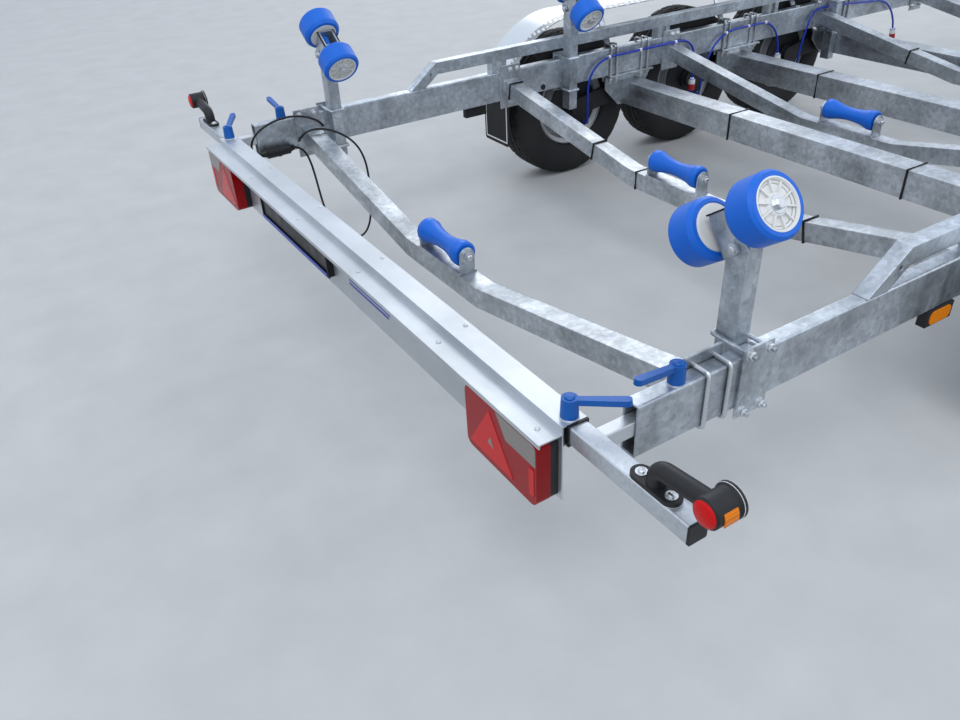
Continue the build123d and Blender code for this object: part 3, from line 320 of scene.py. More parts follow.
cap_red = plastic("cap_red", (0.38, 0.014, 0.014), (0.3, 0.45))
rim_paint = plastic("rim_paint", (0.50, 0.51, 0.52), (0.3, 0.42), coat=0.3)
strap_cloth = plastic("strap_cloth", (0.35, 0.36, 0.36), (0.7, 0.85), speck=700, depth=0.0008)
red_lens = lens("red_lens", (0.38, 0.001, 0.004), (0.20, 0.001, 0.002))
bright_red = lens("bright_red", (0.66, 0.006, 0.006), (0.42, 0.002, 0.003))
smoke_lens = lens("smoke_lens", (0.34, 0.31, 0.28), (0.15, 0.13, 0.12))
amber_lens = lens("amber_lens", (0.80, 0.26, 0.01), (0.55, 0.13, 0.005))
white_lens = lens("white_lens", (0.75, 0.76, 0.76), (0.50, 0.51, 0.52))


# Mesh helpers
def settle(mesh, crease):
    """Smooth shading that keeps edges sharper than the crease angle."""
    shape = bmesh.new()
    shape.from_mesh(mesh)
    bmesh.ops.recalc_face_normals(shape, faces=shape.faces)
    for face in shape.faces:
        face.smooth = True
    for edge in shape.edges:
        if len(edge.link_faces) == 2:
            edge.smooth = edge.calc_face_angle(0) < radians(crease)
    shape.to_mesh(mesh)
    shape.free()


def circle(segments):
    """Angles of the points round a circle."""
    return [2 * pi * step / segments for step in range(segments)]


class Piece:
    """Collects simple solids into one mesh that rides on a body."""

    def __init__(self, name, body, material, slot):
        self.name = name
        self.body = body
        self.material = material
        self.slot = slot
        self.points = []
        self.faces = []

    def add(self, points, size, loop=False):
        """Skin over rings of points, closed at both ends; a loop joins the last to the first."""
        start = len(self.points)
        end = start + len(points)
        self.points.extend(points)
        if not loop:
            self.faces += [tuple(range(start, start + size))[::-1], tuple(range(end - size, end))]
        for low in range(start, end if loop else end - size, size):
            high = low + size if low + size < end else start
            for step in range(size):
                beside = (step + 1) % size
                self.faces.append((low + step, low + beside, high + beside, high + step))

    def lathe(self, profile, origin, axis, segments=24):
        """Turn (radius, height) pairs about an axis; height runs along it from origin."""
        turn = upward.rotation_difference(Vector(axis)).to_matrix()
        points = []
        for (radius, height), angle in product(profile, circle(segments)):
            local = Vector((radius * cos(angle), radius * sin(angle), height))
            points.append(Vector(origin) + turn @ local)
        self.add(points, segments)

    def disc(self, radius, height, origin, axis, segments=24):
        self.lathe([(0, 0), (radius, 0), (radius, height), (0, height)], origin, axis, segments)

    def hexagon(self, origin, axis, across, height, start=0.0):
        """Hexagonal nut or bolt head, a little narrower at its outer end."""
        radius = across / sqrt(3)
        shoulder = start + 0.82 * height
        self.lathe([(radius, start), (radius, shoulder), (0.86 * radius, start + height)], origin, axis, 6)

    def bolt(self, origin, axis, across, washer, stub=0.0):
        """A washer, a nut and, where stub is given, the thread's end."""
        thick = 0.12 * washer
        self.lathe([(0, 0), (washer, 0), (washer, 0.7 * thick), (0.92 * washer, thick), (0, thick)],
                   origin, axis, 20)
        self.hexagon(origin, axis, across, 0.5 * across, thick)
        if stub:
            radius = 0.29 * across
            low = thick + 0.4 * across
            high = low + stub
            tip = high + 0.1 * across
            self.lathe([(radius, low), (radius, high), (0.8 * radius, tip), (0, tip)], origin, axis, 12)

    def box(self, low, high, bevel=0.0):
        """Box between two corners, with chamfered edges along its longest side."""
        low, high = zip(*(sorted(ends) for ends in zip(low, high)))
        size = [high[i] - low[i] for i in range(3)]
        long_axis = size.index(max(size))
        first, second = [i for i in range(3) if i != long_axis]
        cut = min(bevel, 0.45 * size[first], 0.45 * size[second])
        a0, a1 = low[first], high[first]
        b0, b1 = low[second], high[second]
        corners = [(a0, b0), (a1, b0), (a1, b1), (a0, b1)]
        if cut:
            corners = [(a0 + cut, b0), (a1 - cut, b0), (a1, b0 + cut), (a1, b1 - cut),
                       (a1 - cut, b1), (a0 + cut, b1), (a0, b1 - cut), (a0, b0 + cut)]
        points = []
        for level, (a, b) in product((low[long_axis], high[long_axis]), corners):
            point = [level] * 3
            point[first], point[second] = a, b
            points.append(point)
        self.add(points, len(corners))

    def prism(self, outline, origin, across, rise, depth):
        """Push a flat outline of (a, b) pairs along the normal of the plane across x rise."""
        across = Vector(across)
        rise = Vector(rise)
        out = across.cross(rise)
        points = []
        for level, (a, b) in product((0, depth), outline):
            points.append(Vector(origin) + across * a + rise * b + out * level)
        self.add(points, len(outline))

    def tube(self, route, radius, segments=8, closed=False):
        """Sweep a round section along points."""
        route = [Vector(point) for point in route]
        count = len(route)
        points = []
        normal = None
        for index, point in enumerate(route):
            before = route[index - 1] if index or closed else point
            after = route[(index + 1) % count] if index < count - 1 or closed else point
            heading = (after - before).normalized()
            if normal is None:
                normal = upward if abs(heading.z) < 0.9 else forward
            normal = (normal - heading * normal.dot(heading)).normalized()
            other = heading.cross(normal)
            for angle in circle(segments):
                points.append(point + (normal * cos(angle) + other * sin(angle)) * radius)
        self.add(points, segments, closed)

    def finish(self, crease=35):
        mesh = bpy.data.meshes.new(self.name)
        mesh.from_pydata([tuple(point) for point in self.points], [], self.faces)
        settle(mesh, crease)
        mesh.materials.append(self.material)
        made = add_object(self.name, mesh)
        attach(made, self.body)
        return made


def zinc_bolts(name, body="chassis"):
    return Piece(name, body, zinc, "galvanised_steel")


def rounded(points, radius, steps=6):
    """Round the corners of an open route of points with arcs of one radius."""
    points = [Vector(point) for point in points]
    route = [points[0]]
    for before, corner, after in zip(points, points[1:], points[2:]):
        back = (before - corner).normalized()
        onward = (after - corner).normalized()
        half = acos(max(-1, min(1, back.dot(onward)))) / 2
        reach = min(radius / tan(half), 0.49 * (before - corner).length, 0.49 * (after - corner).length)
        start = corner + back * reach
        end = corner + onward * reach
        for step in range(steps + 1):
            share = step / steps
            route.append(start * (1 - share) ** 2 + corner * 2 * share * (1 - share) + end * share**2)
    route.append(points[-1])
    return route


def rounded_box(low_a, low_b, high_a, high_b, radius, steps=5):
    """Outline of a rectangle with round corners, as (a, b) pairs."""
    outline = []
    for centre_a, centre_b, start in (
        (high_a - radius, high_b - radius, 0),
        (low_a + radius, high_b - radius, 90),
        (low_a + radius, low_b + radius, 180),
        (high_a - radius, low_b + radius, 270),
    ):
        for step in range(steps + 1):
            angle = radians(start + 90 * step / steps)
            outline.append((centre_a + radius * cos(angle), centre_b + radius * sin(angle)))
    return outline


def border_bars(low_a, low_b, high_a, high_b, width):
    """The four bars of a rectangular border, each as two (a, b) corners."""
    return [
        ((low_a, high_b - width), (high_a, high_b)),
        ((low_a, low_b), (high_a, low_b + width)),
        ((low_a, low_b + width), (low_a + width, high_b - width)),
        ((high_a - width, low_b + width), (high_a, high_b - width)),
    ]


def dress(material, *names):
    """Give CAD nodes a material."""
    for name in names:
        slots = nodes[name].data.materials
        for index in range(len(slots)):
            slots[index] = material
        if not slots:
            slots.append(material)


# Materials of the CAD nodes
gaiter_seam = along(8.172)
stalk_foot_z = 0.5480
dress(steel, "side_rails", "upper_rails", "drawbar", "side_posts", "winch_post")
dress(steel_bars, "cross_members", "axle_beams", "keel_brackets", "mudguard_stays")
dress(steel_dull, "jockey_sleeve", "jockey_leg", "jockey_fork")
dress(black_steel, "swing_arms", "handbrake_lever", "winch_crank")
dress(black_coupling("black_coupling", gaiter_seam), "coupling")
dress(aluminium, "light_board")
dress(steel_under_rubber("marker_arm_steel", stalk_foot_z), "marker_arm_left", "marker_arm_right")
dress(sheet_metal, "mudguards")
dress(black_rubber, "mudflaps", "side_markers", "jockey_wheel")
dress(lever_blue, "board_levers", "rail_levers")
dress(roller_blue, "bow_roller", *[f"keel_roller_{number}" for number in range(1, 5)])
dress(black_plastic, "plate_holder", "tail_lamps", "cable_connector")
dress(hose_blue, "flush_hoses")
dress(strap_cloth, "winch_drum")
for name, _, _ in each_wheel():
    dress(tyre_rubber, f"tyre_{name}")
    dress(rim_paint, f"rim_{name}")
for name, _, _, _ in each_bracket():
    dress(steel, f"side_bracket_{name}")
    dress(roller_blue, f"side_rollers_{name}")


# Stage and light
def build_floor():
    reach = 150
    mesh = bpy.data.meshes.new("floor")
    corners = [(-reach, -reach, 0), (reach, -reach, 0), (reach, reach, 0), (-reach, reach, 0)]
    mesh.from_pydata(corners, [], [(0, 1, 2, 3)])
    floor = add_object("floor", mesh)
    floor.location.z = -0.0005
    shader = Shader("pale_floor")
    tone = shader.blend(shader.noise(5, 4), 0.3, 0.7, (0.39, 0.39, 0.385), (0.43, 0.43, 0.425))
    shader.set(base_color=tone, roughness=0.85)
    mesh.materials.append(shader.material)


def build_sky():
    """A pale blue light from all round, behind which the camera sees a plain backdrop."""
    world = bpy.data.worlds.new("studio")
    bpy.context.scene.world = world
    world.use_nodes = True
    tree = world.node_tree
    tree.nodes.clear()
    output = tree.nodes.new("ShaderNodeOutputWorld")
    seen = tree.nodes.new("ShaderNodeLightPath")
    choice = tree.nodes.new("ShaderNodeMixShader")
    tree.links.new(seen.outputs["Is Camera Ray"], choice.inputs["Fac"])
    for socket, color, strength in ((1, (0.80, 0.88, 1.0, 1), 1.2), (2, (0.60, 0.62, 0.64, 1), 1.0)):
        light = tree.nodes.new("ShaderNodeBackground")
        light.inputs["Color"].default_value = color
        light.inputs["Strength"].default_value = strength
        tree.links.new(light.outputs[0], choice.inputs[socket])
    tree.links.new(choice.outputs[0], output.inputs["Surface"])


def build_lamps():
    for name, place, aim, size, power in (
        ("key", (-7, -4, 9), (-2.5, 0, 0.5), 5, 340),
        ("fill", (4, 9, 7), (-1, 0, 0.5), 7, 300),
        ("front", (9, -5, 6), (2, 0, 0.5), 6, 160),
    ):
        lamp = bpy.data.lights.new(name, "AREA")
        lamp.size = size
        lamp.energy = power
        holder = add_object(name, lamp)
        holder.location = place
        holder.rotation_euler = (Vector(aim) - Vector(place)).to_track_quat("-Z", "Y").to_euler()


# Camera: the photograph's place, heading and focal length, as solved from its straight edges
camera_place = (along(-0.8259), -1.8979, rail_top + 0.8986)
yaw, pitch, roll = 1.0376, -0.5928, -0.0554
focal_pixels = 811.55
photo_width = 960
sensor_width = 36


def build_camera():
    view = Vector((cos(pitch) * cos(yaw), cos(pitch) * sin(yaw), sin(pitch)))
    level = Vector((sin(yaw), -cos(yaw), 0))
    above = level.cross(view)
    across = cos(roll) * level + sin(roll) * above
    top = -sin(roll) * level + cos(roll) * above
    data = bpy.data.cameras.new("camera")
    data.sensor_width = sensor_width
    data.lens = focal_pixels / photo_width * sensor_width
    data.clip_end = 100
    camera = add_object("camera", data)
    turn = Matrix((across, top, -view)).transposed().to_4x4()
    camera.matrix_world = Matrix.Translation(camera_place) @ turn
    bpy.context.scene.camera = camera


# Zinc bolts that clamp the dropped cross-members: each loops round the rail to its end plate
member_bolts = [
    # cross-member's place, bolts' offsets along the rail
    (0.200, (-0.029, 0.029)),
    (1.110, (0.0, 0.034)),
    (2.015, (0.006, 0.038)),
    (3.070, (-0.030,)),
    (3.900, (-0.029, 0.029)),
]
rod = 0.005
leg_reach = 0.020
nut_reach = 0.006


def build_member_bolts():
    bolts = zinc_bolts("cross_member_bolts")
    high = rail_top + rod
    low = rail_bottom - rod
    for place, offsets in member_bolts:
        for offset, side in product(offsets, sides.values()):
            x = along(place + offset)
            near = side * (rail_inner - leg_reach)
            far = side * (rail_outer + rod)
            loop = [(x, near, high), (x, far, high), (x, far, low), (x, near, low)]
            bolts.tube(rounded(loop, 0.012), rod)
            for level in (high, low):
                nut = (x, side * (rail_inner - nut_reach), level)
                bolts.bolt(nut, (0, -side, 0), across=0.016, washer=0.011)
    bolts.finish()


# Zinc U-bolts that clamp each axle's hanger to the rails, but for those at the front side post
axle_bolt_offsets = [-0.123, -0.088, 0.059, 0.095]
beam_lead = 0.267
post_room = 0.060
hanger_top = rail_bottom - 0.008
leg_end = rail_bottom - 0.034


def build_axle_bolts():
    bolts = zinc_bolts("axle_bolts")
    high = rail_top + 0.012
    for wheel, offset, side in product(wheel_x, axle_bolt_offsets, sides.values()):
        x = wheel + beam_lead + offset
        if abs(x - along(front_post_place)) < post_room:
            continue
        inner = side * (rail_inner - rod)
        outer = side * (rail_outer + rod)
        loop = [(x, inner, leg_end), (x, inner, high), (x, outer, high), (x, outer, leg_end)]
        bolts.tube(rounded(loop, 0.014), rod)
        for y in (inner, outer):
            bolts.bolt((x, y, hanger_top), -upward, across=0.019, washer=0.013)
    bolts.finish()


# Nuts of the side posts' clamps, and the ends of their pivots
pivot_z = rail_top + 0.207
high_bolt = -0.008
clamp_half = 0.0255
clamp_y = 1.054
pivot_half = 0.0370
pivot_end = [(0.0085, 0), (0.0085, 0.0016), (0.0060, 0.0030), (0, 0.0030)]


def build_post_bolts():
    bolts = zinc_bolts("side_post_bolts")
    for (place, post_y, low_bolt), side, half in product(post_table, sides.values(), (-1, 1)):
        for drop in (high_bolt, low_bolt):
            foot = (along(place + half * clamp_half), side * clamp_y, rail_top - drop)
            bolts.bolt(foot, (0, side, 0), across=0.017, washer=0.012)
        pivot = (along(place + half * pivot_half), side * post_y, pivot_z)
        bolts.lathe(pivot_end, pivot, (half, 0, 0), 16)
    bolts.finish()


# Keel roller pins: a washer and a round end on both sides of each bracket
member_drop = 0.186
keel_z = rail_top - member_drop + 0.055


def build_keel_bolts():
    bolts = zinc_bolts("keel_roller_bolts")
    for (place, _), half in product(member_bolts[:4], (-1, 1)):
        bolts.disc(0.019, 0.002, (along(place), half * 0.120, keel_z), (0, half, 0))
        bolts.lathe([(0.009, 0), (0.009, 0.005), (0.007, 0.007), (0, 0.007)],
                    (along(place), half * 0.132, keel_z), (0, half, 0), 16)
    bolts.finish()


# White ribbed hubs in the side rollers, with a washer and bolt
pair_tilt = radians(35)
pair_axis_up = 0.050
pair_near = {-1: 0.054, 1: 0.031}
pair_width = 0.074
hub_rib_count = 10
outer_hub = [
    (0, -0.0012), (0.0203, -0.0012), (0.0240, -0.0074), (0.0425, -0.0074), (0.0475, 0.0006),
    (0.0505, 0.0006), (0.0512, -0.001), (0.030, -0.012), (0, -0.012),
]
inner_hub = [
    (0, 0.002), (0.012, 0.002), (0.012, -0.0006), (0.045, -0.0006), (0.050, 0.0034),
    (0.030, 0.006), (0, 0.006),
]
hub_rib = [(0, 0), (0.0235, 0), (0.0255, 0.0060), (0, 0.0062)]
hub_rib_thick = 0.0032


def tilted(side):
    """Directions along a roller pair's shaft and square to it."""
    shaft = Vector((0, side * cos(pair_tilt), sin(pair_tilt)))
    rise = Vector((0, -side * sin(pair_tilt), cos(pair_tilt)))
    return shaft, rise


def build_roller_hubs():
    for name, side, x, post_y in each_bracket():
        shaft, rise = tilted(side)
        middle = Vector((x, side * post_y, pivot_z)) + rise * pair_axis_up
        hubs = Piece(f"roller_hubs_{name}", f"side_rollers_{name}", hub_white, "blue_roller")
        bolts = Piece(f"roller_bolts_{name}", f"side_rollers_{name}", zinc, "blue_roller")
        for half in (-1, 1):
            out = shaft * half
            near = middle + out * pair_near[half]
            face = near + out * pair_width
            hubs.lathe(outer_hub, face, out, 40)
            for step in range(hub_rib_count):
                angle = 2 * pi * (step + 0.5) / hub_rib_count
                spoke = forward * cos(angle) + rise * sin(angle)
                start = face + spoke * 0.020 - out.cross(spoke) * hub_rib_thick / 2 - out * 0.0078
                hubs.prism(hub_rib, start, spoke, out, -hub_rib_thick)
            bolts.disc(0.0175, 0.0014, face - out * 0.0012, out)
            bolts.hexagon(face, out, 0.019, 0.0085)
            hubs.lathe(inner_hub, near, out, 32)
        hubs.finish()
        bolts.finish()


# Black edge strips on the tilting brackets
strip_thick = 0.0055


def build_bracket_trim():
    for name, side, x, post_y in each_bracket():
        across, rise = tilted(side)
        strip = Piece(f"bracket_strips_{name}", f"side_bracket_{name}", black_rubber, "galvanised_steel")
        for half in (-1, 1):
            middle = Vector((x + half * 0.0265, side * post_y, pivot_z))
            corner = middle - across * 0.038 + rise * 0.0745
            outline = [(0, 0), (0.067, 0), (0.067, 0.0035), (0, 0.0035)]
            strip.prism(outline, corner, across, rise, strip_thick * half * side)
        strip.finish()


# Tyres with ribs, grooves and shoulder sipes, in the form of the CAD tyres
tyre_y = 1.1745
tyre_steps = 180
sipe_depth = 0.0055
sipe_starts = {"shoulder": 0, "rib": 3}
half_tread = [
    # distance from the tyre's middle, radius, which sipes cut it
    (0.066, 0.180, ""), (0.080, 0.188, ""), (0.0895, 0.210, ""), (0.0922, 0.236, ""),
    (0.0925, 0.250, ""), (0.0915, 0.268, ""), (0.0870, 0.288, ""), (0.0785, 0.304, ""),
    (0.0745, 0.3095, "shoulder"), (0.0685, 0.3150, "shoulder"), (0.0600, 0.3180, "shoulder"),
    (0.0420, 0.3188, "shoulder"), (0.0410, 0.3120, ""), (0.0350, 0.3120, ""), (0.0340, 0.3194, ""),
    (0.0120, 0.3198, "rib"), (0.0110, 0.3125, ""), (0.0050, 0.3125, ""), (0.0040, 0.3199, ""),
]
tread_section = [(-across, radius, sipe) for across, radius, sipe in half_tread] + half_tread[::-1]


def build_tyres():
    for name, side, x in each_wheel():
        tyre = Piece(f"tread_{name}", f"wheel_{name}", tyre_rubber, "tyre_rubber")
        points = []
        turns = enumerate(circle(tyre_steps))
        for (across, radius, sipe), (step, angle) in product(tread_section, turns):
            cut = sipe and step % 6 == sipe_starts[sipe]
            reach = radius - sipe_depth if cut else radius
            points.append((x + reach * sin(angle), side * (tyre_y + across), wheel_z + reach * cos(angle)))
        tyre.add(points, tyre_steps, loop=True)
        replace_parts(tyre.finish(28), f"tyre_{name}")


# Wheel bolts, hub caps and valves
bolt_circle = 0.056
bolt_face_y = 1.2045
cap_face_y = 1.2315
valve_foot = (0.145, 1.188)


def build_wheel_trim():
    for name, side, x in each_wheel():
        outward = Vector((0, side, 0))
        bolts = Piece(f"wheel_bolts_{name}", f"wheel_{name}", zinc, "painted_rim")
        for angle in circle(5):
            foot = (x + bolt_circle * sin(angle), side * bolt_face_y, wheel_z + bolt_circle * cos(angle))
            bolts.lathe([(0, 0), (0.015, 0), (0.011, 0.005), (0, 0.005)], foot, outward, 16)
            bolts.hexagon(foot, outward, 0.017, 0.014, 0.003)
        bolts.finish()
        cap = Piece(f"hub_cap_{name}", f"wheel_{name}", black_plastic, "painted_rim")
        cap.lathe([(0.0355, 0.0), (0.0355, 0.004), (0.031, 0.0075), (0.026, 0.0085), (0, 0.009)],
                  (x, side * cap_face_y, wheel_z), outward, 32)
        foot = Vector((x + valve_foot[0], side * valve_foot[1], wheel_z))
        bend = foot + Vector((0.010, side * 0.020, 0))
        tip = foot + Vector((0.016, side * 0.034, 0))
        cap.tube([foot, bend, tip], 0.005)
        cap.finish()


# Trim of the light board: screws, the crown's end sleeves and the plain blue stripes
panel_rear = along(-0.134)
hood_top = rail_top - 0.031
crown_top = rail_top - 0.014
marker_x = along(-0.1013)
marker_z = crown_top - 0.0233
sleeve_half = 0.0232
hood_screw = [(0.0055, 0), (0.0052, 0.0015), (0.003, 0.0028), (0, 0.003)]
panel_screw = [(0.0055, 0), (0.0052, 0.0012), (0, 0.0016)]


def build_board_trim():
    screws = Piece("board_screws", "light_board", zinc, "bare_aluminium")
    for y in (0.96, 0.60, 0.20, -0.20, -0.60, -0.96):
        for x, z in ((along(-0.160), hood_top), (along(-0.091), crown_top)):
            screws.lathe(hood_screw, (x, y, z), upward, 14)
    for y in (0.70, 0.42, -0.36, -0.66):
        screws.lathe(panel_screw, (panel_rear, y, rail_top - 0.176), -forward, 14)
    screws.finish()

    sleeves = Piece("crown_sleeves", "light_board", black_plastic, "black_plastic")
    bars = border_bars(-sleeve_half, -sleeve_half, sleeve_half, sleeve_half, 0.003)
    for side, (low, high) in product(sides.values(), bars):
        sleeves.box((marker_x + low[0], side * 0.996, marker_z + low[1]),
                    (marker_x + high[0], side * 1.006, marker_z + high[1]))
    sleeves.finish()

    stripes = Piece("panel_stripes", "light_board", stripe_blue, "bare_aluminium")
    for row in range(3):
        high = rail_top - 0.102 - 0.013 * row
        stripes.box((panel_rear - 0.0006, -0.312 + 0.010 * row, high - 0.007),
                    (panel_rear + 0.0004, -0.061, high))
    stripes.finish()


# Tail lamps: red lens round a black base, triangle reflector, clear patch, bright bar and a small pale
# triangle of painted glint
lamp_inner_y = 0.745
lamp_width = 0.245
lamp_top = hood_top - 0.010
lamp_height = 0.150
lamp_depth = 0.032
lens_face = along(-0.1848)
lens_lip = 0.0006
patch_thick = 0.0007
painted_glint_thick = 0.0011


def build_tail_lamps():
    for side_name, side in sides.items():
        origin = (lens_face, side * lamp_inner_y, lamp_top - lamp_height)
        across = (0, side, 0)
        red = Piece(f"lamp_lens_{side_name}", "light_board", red_lens, "red_lens")
        red.prism(rounded_box(-lens_lip, -lens_lip, lamp_width + lens_lip, lamp_height + lens_lip, 0.018),
                  origin, across, upward, lamp_depth * side)
        red.finish(50)
        bright = Piece(f"lamp_triangle_{side_name}", "light_board", bright_red, "red_lens")
        triangle = [(0.012, 0.014), (0.168, 0.014), (0.088, 0.134)]
        bar = [(0.222, 0.022), (0.238, 0.022), (0.238, 0.088), (0.222, 0.088)]
        for outline in (triangle, bar):
            bright.prism(outline, origin, across, upward, -patch_thick * side)
        bright.finish()
        clear = Piece(f"lamp_clear_and_glint_{side_name}", "light_board", smoke_lens, "red_lens")
        patch = [(0.112, 0.147), (0.236, 0.147), (0.243, 0.138), (0.243, 0.098), (0.146, 0.098)]
        clear.prism(patch, origin, across, upward, -patch_thick * side)
        # Painted glint: the small pale triangle stands for a highlight on the red lens, not a part of the
        # lamp
        painted_glint = [(0.080, 0.052), (0.102, 0.046), (0.091, 0.070)]
        clear.prism(painted_glint, origin, across, upward, -painted_glint_thick * side)
        clear.finish()


# Plate holder: black border with three clips and a plain blue strip, left bare of any plate
plate_face = along(-0.148)
plate_low_y = 0.045
plate_high_y = 0.575
plate_height = 0.118
plate_low_z = lamp_top - plate_height
plate_border = 0.007
clip_half = 0.018


def build_plate_trim():
    lip = Piece("plate_lip", "light_board", black_plastic, "black_plastic")
    for low, high in border_bars(plate_low_y, 0, plate_high_y, plate_height, plate_border):
        lip.box((plate_face - 0.005, low[0], plate_low_z + low[1]),
                (plate_face + 0.001, high[0], plate_low_z + high[1]), 0.002)
    for y in (0.13, 0.31, 0.49):
        lip.box((plate_face - 0.009, y - clip_half, plate_low_z + 0.104),
                (plate_face + 0.001, y + clip_half, plate_low_z + 0.117), 0.003)
    lip.finish()
    strip = Piece("plate_strip", "light_board", stripe_blue, "black_plastic")
    strip.box((plate_face - 0.0056, plate_low_y + 0.010, plate_low_z + 0.0005),
              (plate_face - 0.004, plate_high_y - 0.010, plate_low_z + 0.0125))
    strip.finish()


# Position lamps: red behind, clear ahead, amber at the side, and the foot's bolts
marker_reach = 1.300
lamp_head_y = marker_reach + 0.033
lamp_head_half = 0.028
marker_top = marker_z + 0.020
lamp_head_z = marker_top + 0.058
amber_section = [
    # radius from the lamp head's axis, X from the arm's middle
    (0.0274, -0.016), (0.0274, 0.012), (0.0295, 0.012), (0.0295, -0.016),
]
amber_steps = 12
amber_start = -16
amber_turn = 50
foot_y = marker_reach - 0.094
tube_half = 0.0202


def build_position_lamps():
    for side_name, side in sides.items():
        body = f"marker_arm_{side_name}"
        rear = Piece(f"position_red_{side_name}", body, bright_red, "black_rubber")
        rear.lathe([(0.0232, -0.003), (0.0232, 0.0010), (0.020, 0.0036), (0.0125, 0.0052), (0, 0.0060)],
                   (marker_x - lamp_head_half, side * lamp_head_y, lamp_head_z), -forward, 32)
        rear.finish()
        front = Piece(f"position_clear_{side_name}", body, white_lens, "black_rubber")
        front.lathe([(0.0309, -0.006), (0.0309, 0.0004), (0.0298, 0.0016), (0.018, 0.0036), (0, 0.0044)],
                    (marker_x + lamp_head_half, side * lamp_head_y, lamp_head_z), forward, 36)
        front.finish()

        amber = Piece(f"position_amber_{side_name}", body, amber_lens, "black_rubber")
        points = []
        for step in range(amber_steps + 1):
            angle = radians(amber_start + amber_turn * step / amber_steps)
            for radius, x in amber_section:
                y = side * (lamp_head_y + radius * cos(angle))
                points.append((marker_x + x, y, lamp_head_z - 0.004 + radius * sin(angle)))
        amber.add(points, len(amber_section))
        amber.finish()

        bolts = zinc_bolts(f"position_bolts_{side_name}", body)
        for offset in (-0.035, 0.035):
            foot = (marker_x, side * (foot_y + offset), marker_top + 0.008)
            bolts.disc(0.011, 0.0015, foot, upward, 20)
            bolts.lathe([(0.0065, 0.0015), (0.0065, 0.004), (0.004, 0.0058), (0, 0.0062)], foot, upward, 16)
        bolts.finish()
        cap = Piece(f"marker_cap_{side_name}", body, black_plastic, "black_plastic")
        cap.prism(rounded_box(-tube_half, -tube_half, tube_half, tube_half, 0.004),
                  (marker_x, side * (marker_reach - 0.001), marker_z), upward, forward, side * 0.005)
        cap.finish()


# Side marker lamps: an amber lens with round corners on each base
side_marker_places = [0.950, 4.700]
side_marker_y = 1.050
side_marker_thick = 0.0045


def build_side_markers():
    for side_name, side in sides.items():
        amber = Piece(f"side_marker_lens_{side_name}", "chassis", amber_lens, "black_rubber")
        for place in side_marker_places:
            amber.prism(rounded_box(-0.018, -0.040, 0.018, 0.040, 0.014),
                        (along(place), side * side_marker_y, rail_bottom - 0.022), upward, forward,
                        side * side_marker_thick)
        amber.finish()


# Cable ties round the cross-members and axle beams, and grommets in the rails
member_end_drop = 0.036
member_end_y = 1.002
member_flat_y = 0.205
member_slope = (member_drop - member_end_drop) / (member_end_y - member_flat_y)
member_size = 0.063
beam_drop = 0.155
beam_size = 0.103
tie_lift = 0.0015


def build_ties():
    ties = Piece("cable_ties", "chassis", black_plastic, "black_plastic")
    half = member_size / 2
    for place, y in ((1.110, 0.965), (1.110, 0.413), (1.110, 0.168), (1.110, -0.55), (3.070, 0.45)):
        past_flat = max(0, abs(y) - member_flat_y)
        high = rail_top - member_drop + past_flat * member_slope + tie_lift
        low = high - member_size
        slope = member_slope if past_flat else 0
        lean = half * (slope if y > 0 else -slope)
        x = along(place)
        ring = [(x - half, y - lean, high), (x + half, y - lean, high),
                (x + half, y + lean, low), (x - half, y + lean, low)]
        ties.tube(ring, 0.0040, 6, closed=True)
    half = beam_size / 2
    high = rail_top - beam_drop + tie_lift
    low = high - beam_size
    for wheel, y in ((wheel_x[0], 0.345), (wheel_x[0], -0.44), (wheel_x[1], 0.49)):
        x = wheel + beam_lead
        ties.tube([(x - half, y, high), (x + half, y, high), (x + half, y, low), (x - half, y, low)],
                  0.0042, 6, closed=True)
    ties.finish()
    grommets = Piece("grommets", "chassis", black_rubber, "black_rubber")
    for side, place in product(sides.values(), (1.283, 4.45)):
        grommets.lathe([(0.012, 0), (0.012, 0.002), (0.009, 0.003), (0.006, 0.0015), (0, 0.001)],
                       (along(place), side * rail_inner, rail_top - 0.101), (0, -side, 0))
    grommets.finish()


# Rivets on the mudguards and the white border on each mudflap
guard_top = 0.720
guard_radius = guard_top - wheel_z
guard_end_z = rail_top - 0.100
guard_reach = sqrt(guard_radius**2 - (guard_end_z - wheel_z) ** 2)
flap_rear = wheel_x[0] - guard_reach - 0.012
flap_top = rail_top - 0.080


def build_guard_trim():
    rivets = Piece("guard_rivets", "chassis", zinc, "bare_aluminium")
    for side, place, y in product(sides.values(), (1.674, 2.387, 2.900), (1.140, 1.172)):
        rivets.lathe([(0.008, 0), (0.0075, 0.002), (0.004, 0.0036), (0, 0.004)],
                     (along(place), side * y, guard_top), upward, 16)
    rivets.finish()
    border = Piece("mudflap_border", "chassis", hub_white, "black_rubber")
    bars = border_bars(1.066, flap_top - 0.256, 1.236, flap_top - 0.039, 0.006)
    for side, (low, high) in product(sides.values(), bars):
        border.box((flap_rear - 0.0008, side * low[0], low[1]),
                   (flap_rear + 0.0005, side * high[0], high[1]))
    border.finish()


# Clamp levers: zinc studs below and press buttons on top
lever_stud = [(0.019, 0), (0.019, 0.002), (0, 0.002)]
lever_button = [(0.01, 0.041), (0.01, 0.0435), (0.0075, 0.0455), (0, 0.046)]


def build_lever_trim():
    for body, name, x, y, z in (
        ("light_board", "board", along(-0.103), 0.980, crown_top),
        ("chassis", "rail", along(0.110), 1.028, rail_top),
    ):
        studs = Piece(f"{name}_lever_studs", body, zinc, "blue_plastic")
        buttons = Piece(f"{name}_lever_buttons", body, lever_blue, "blue_plastic")
        for side in sides.values():
            studs.lathe(lever_stud, (x, side * y, z), upward)
            buttons.lathe(lever_button, (x, side * y, z), upward, 20)
        studs.finish()
        buttons.finish()


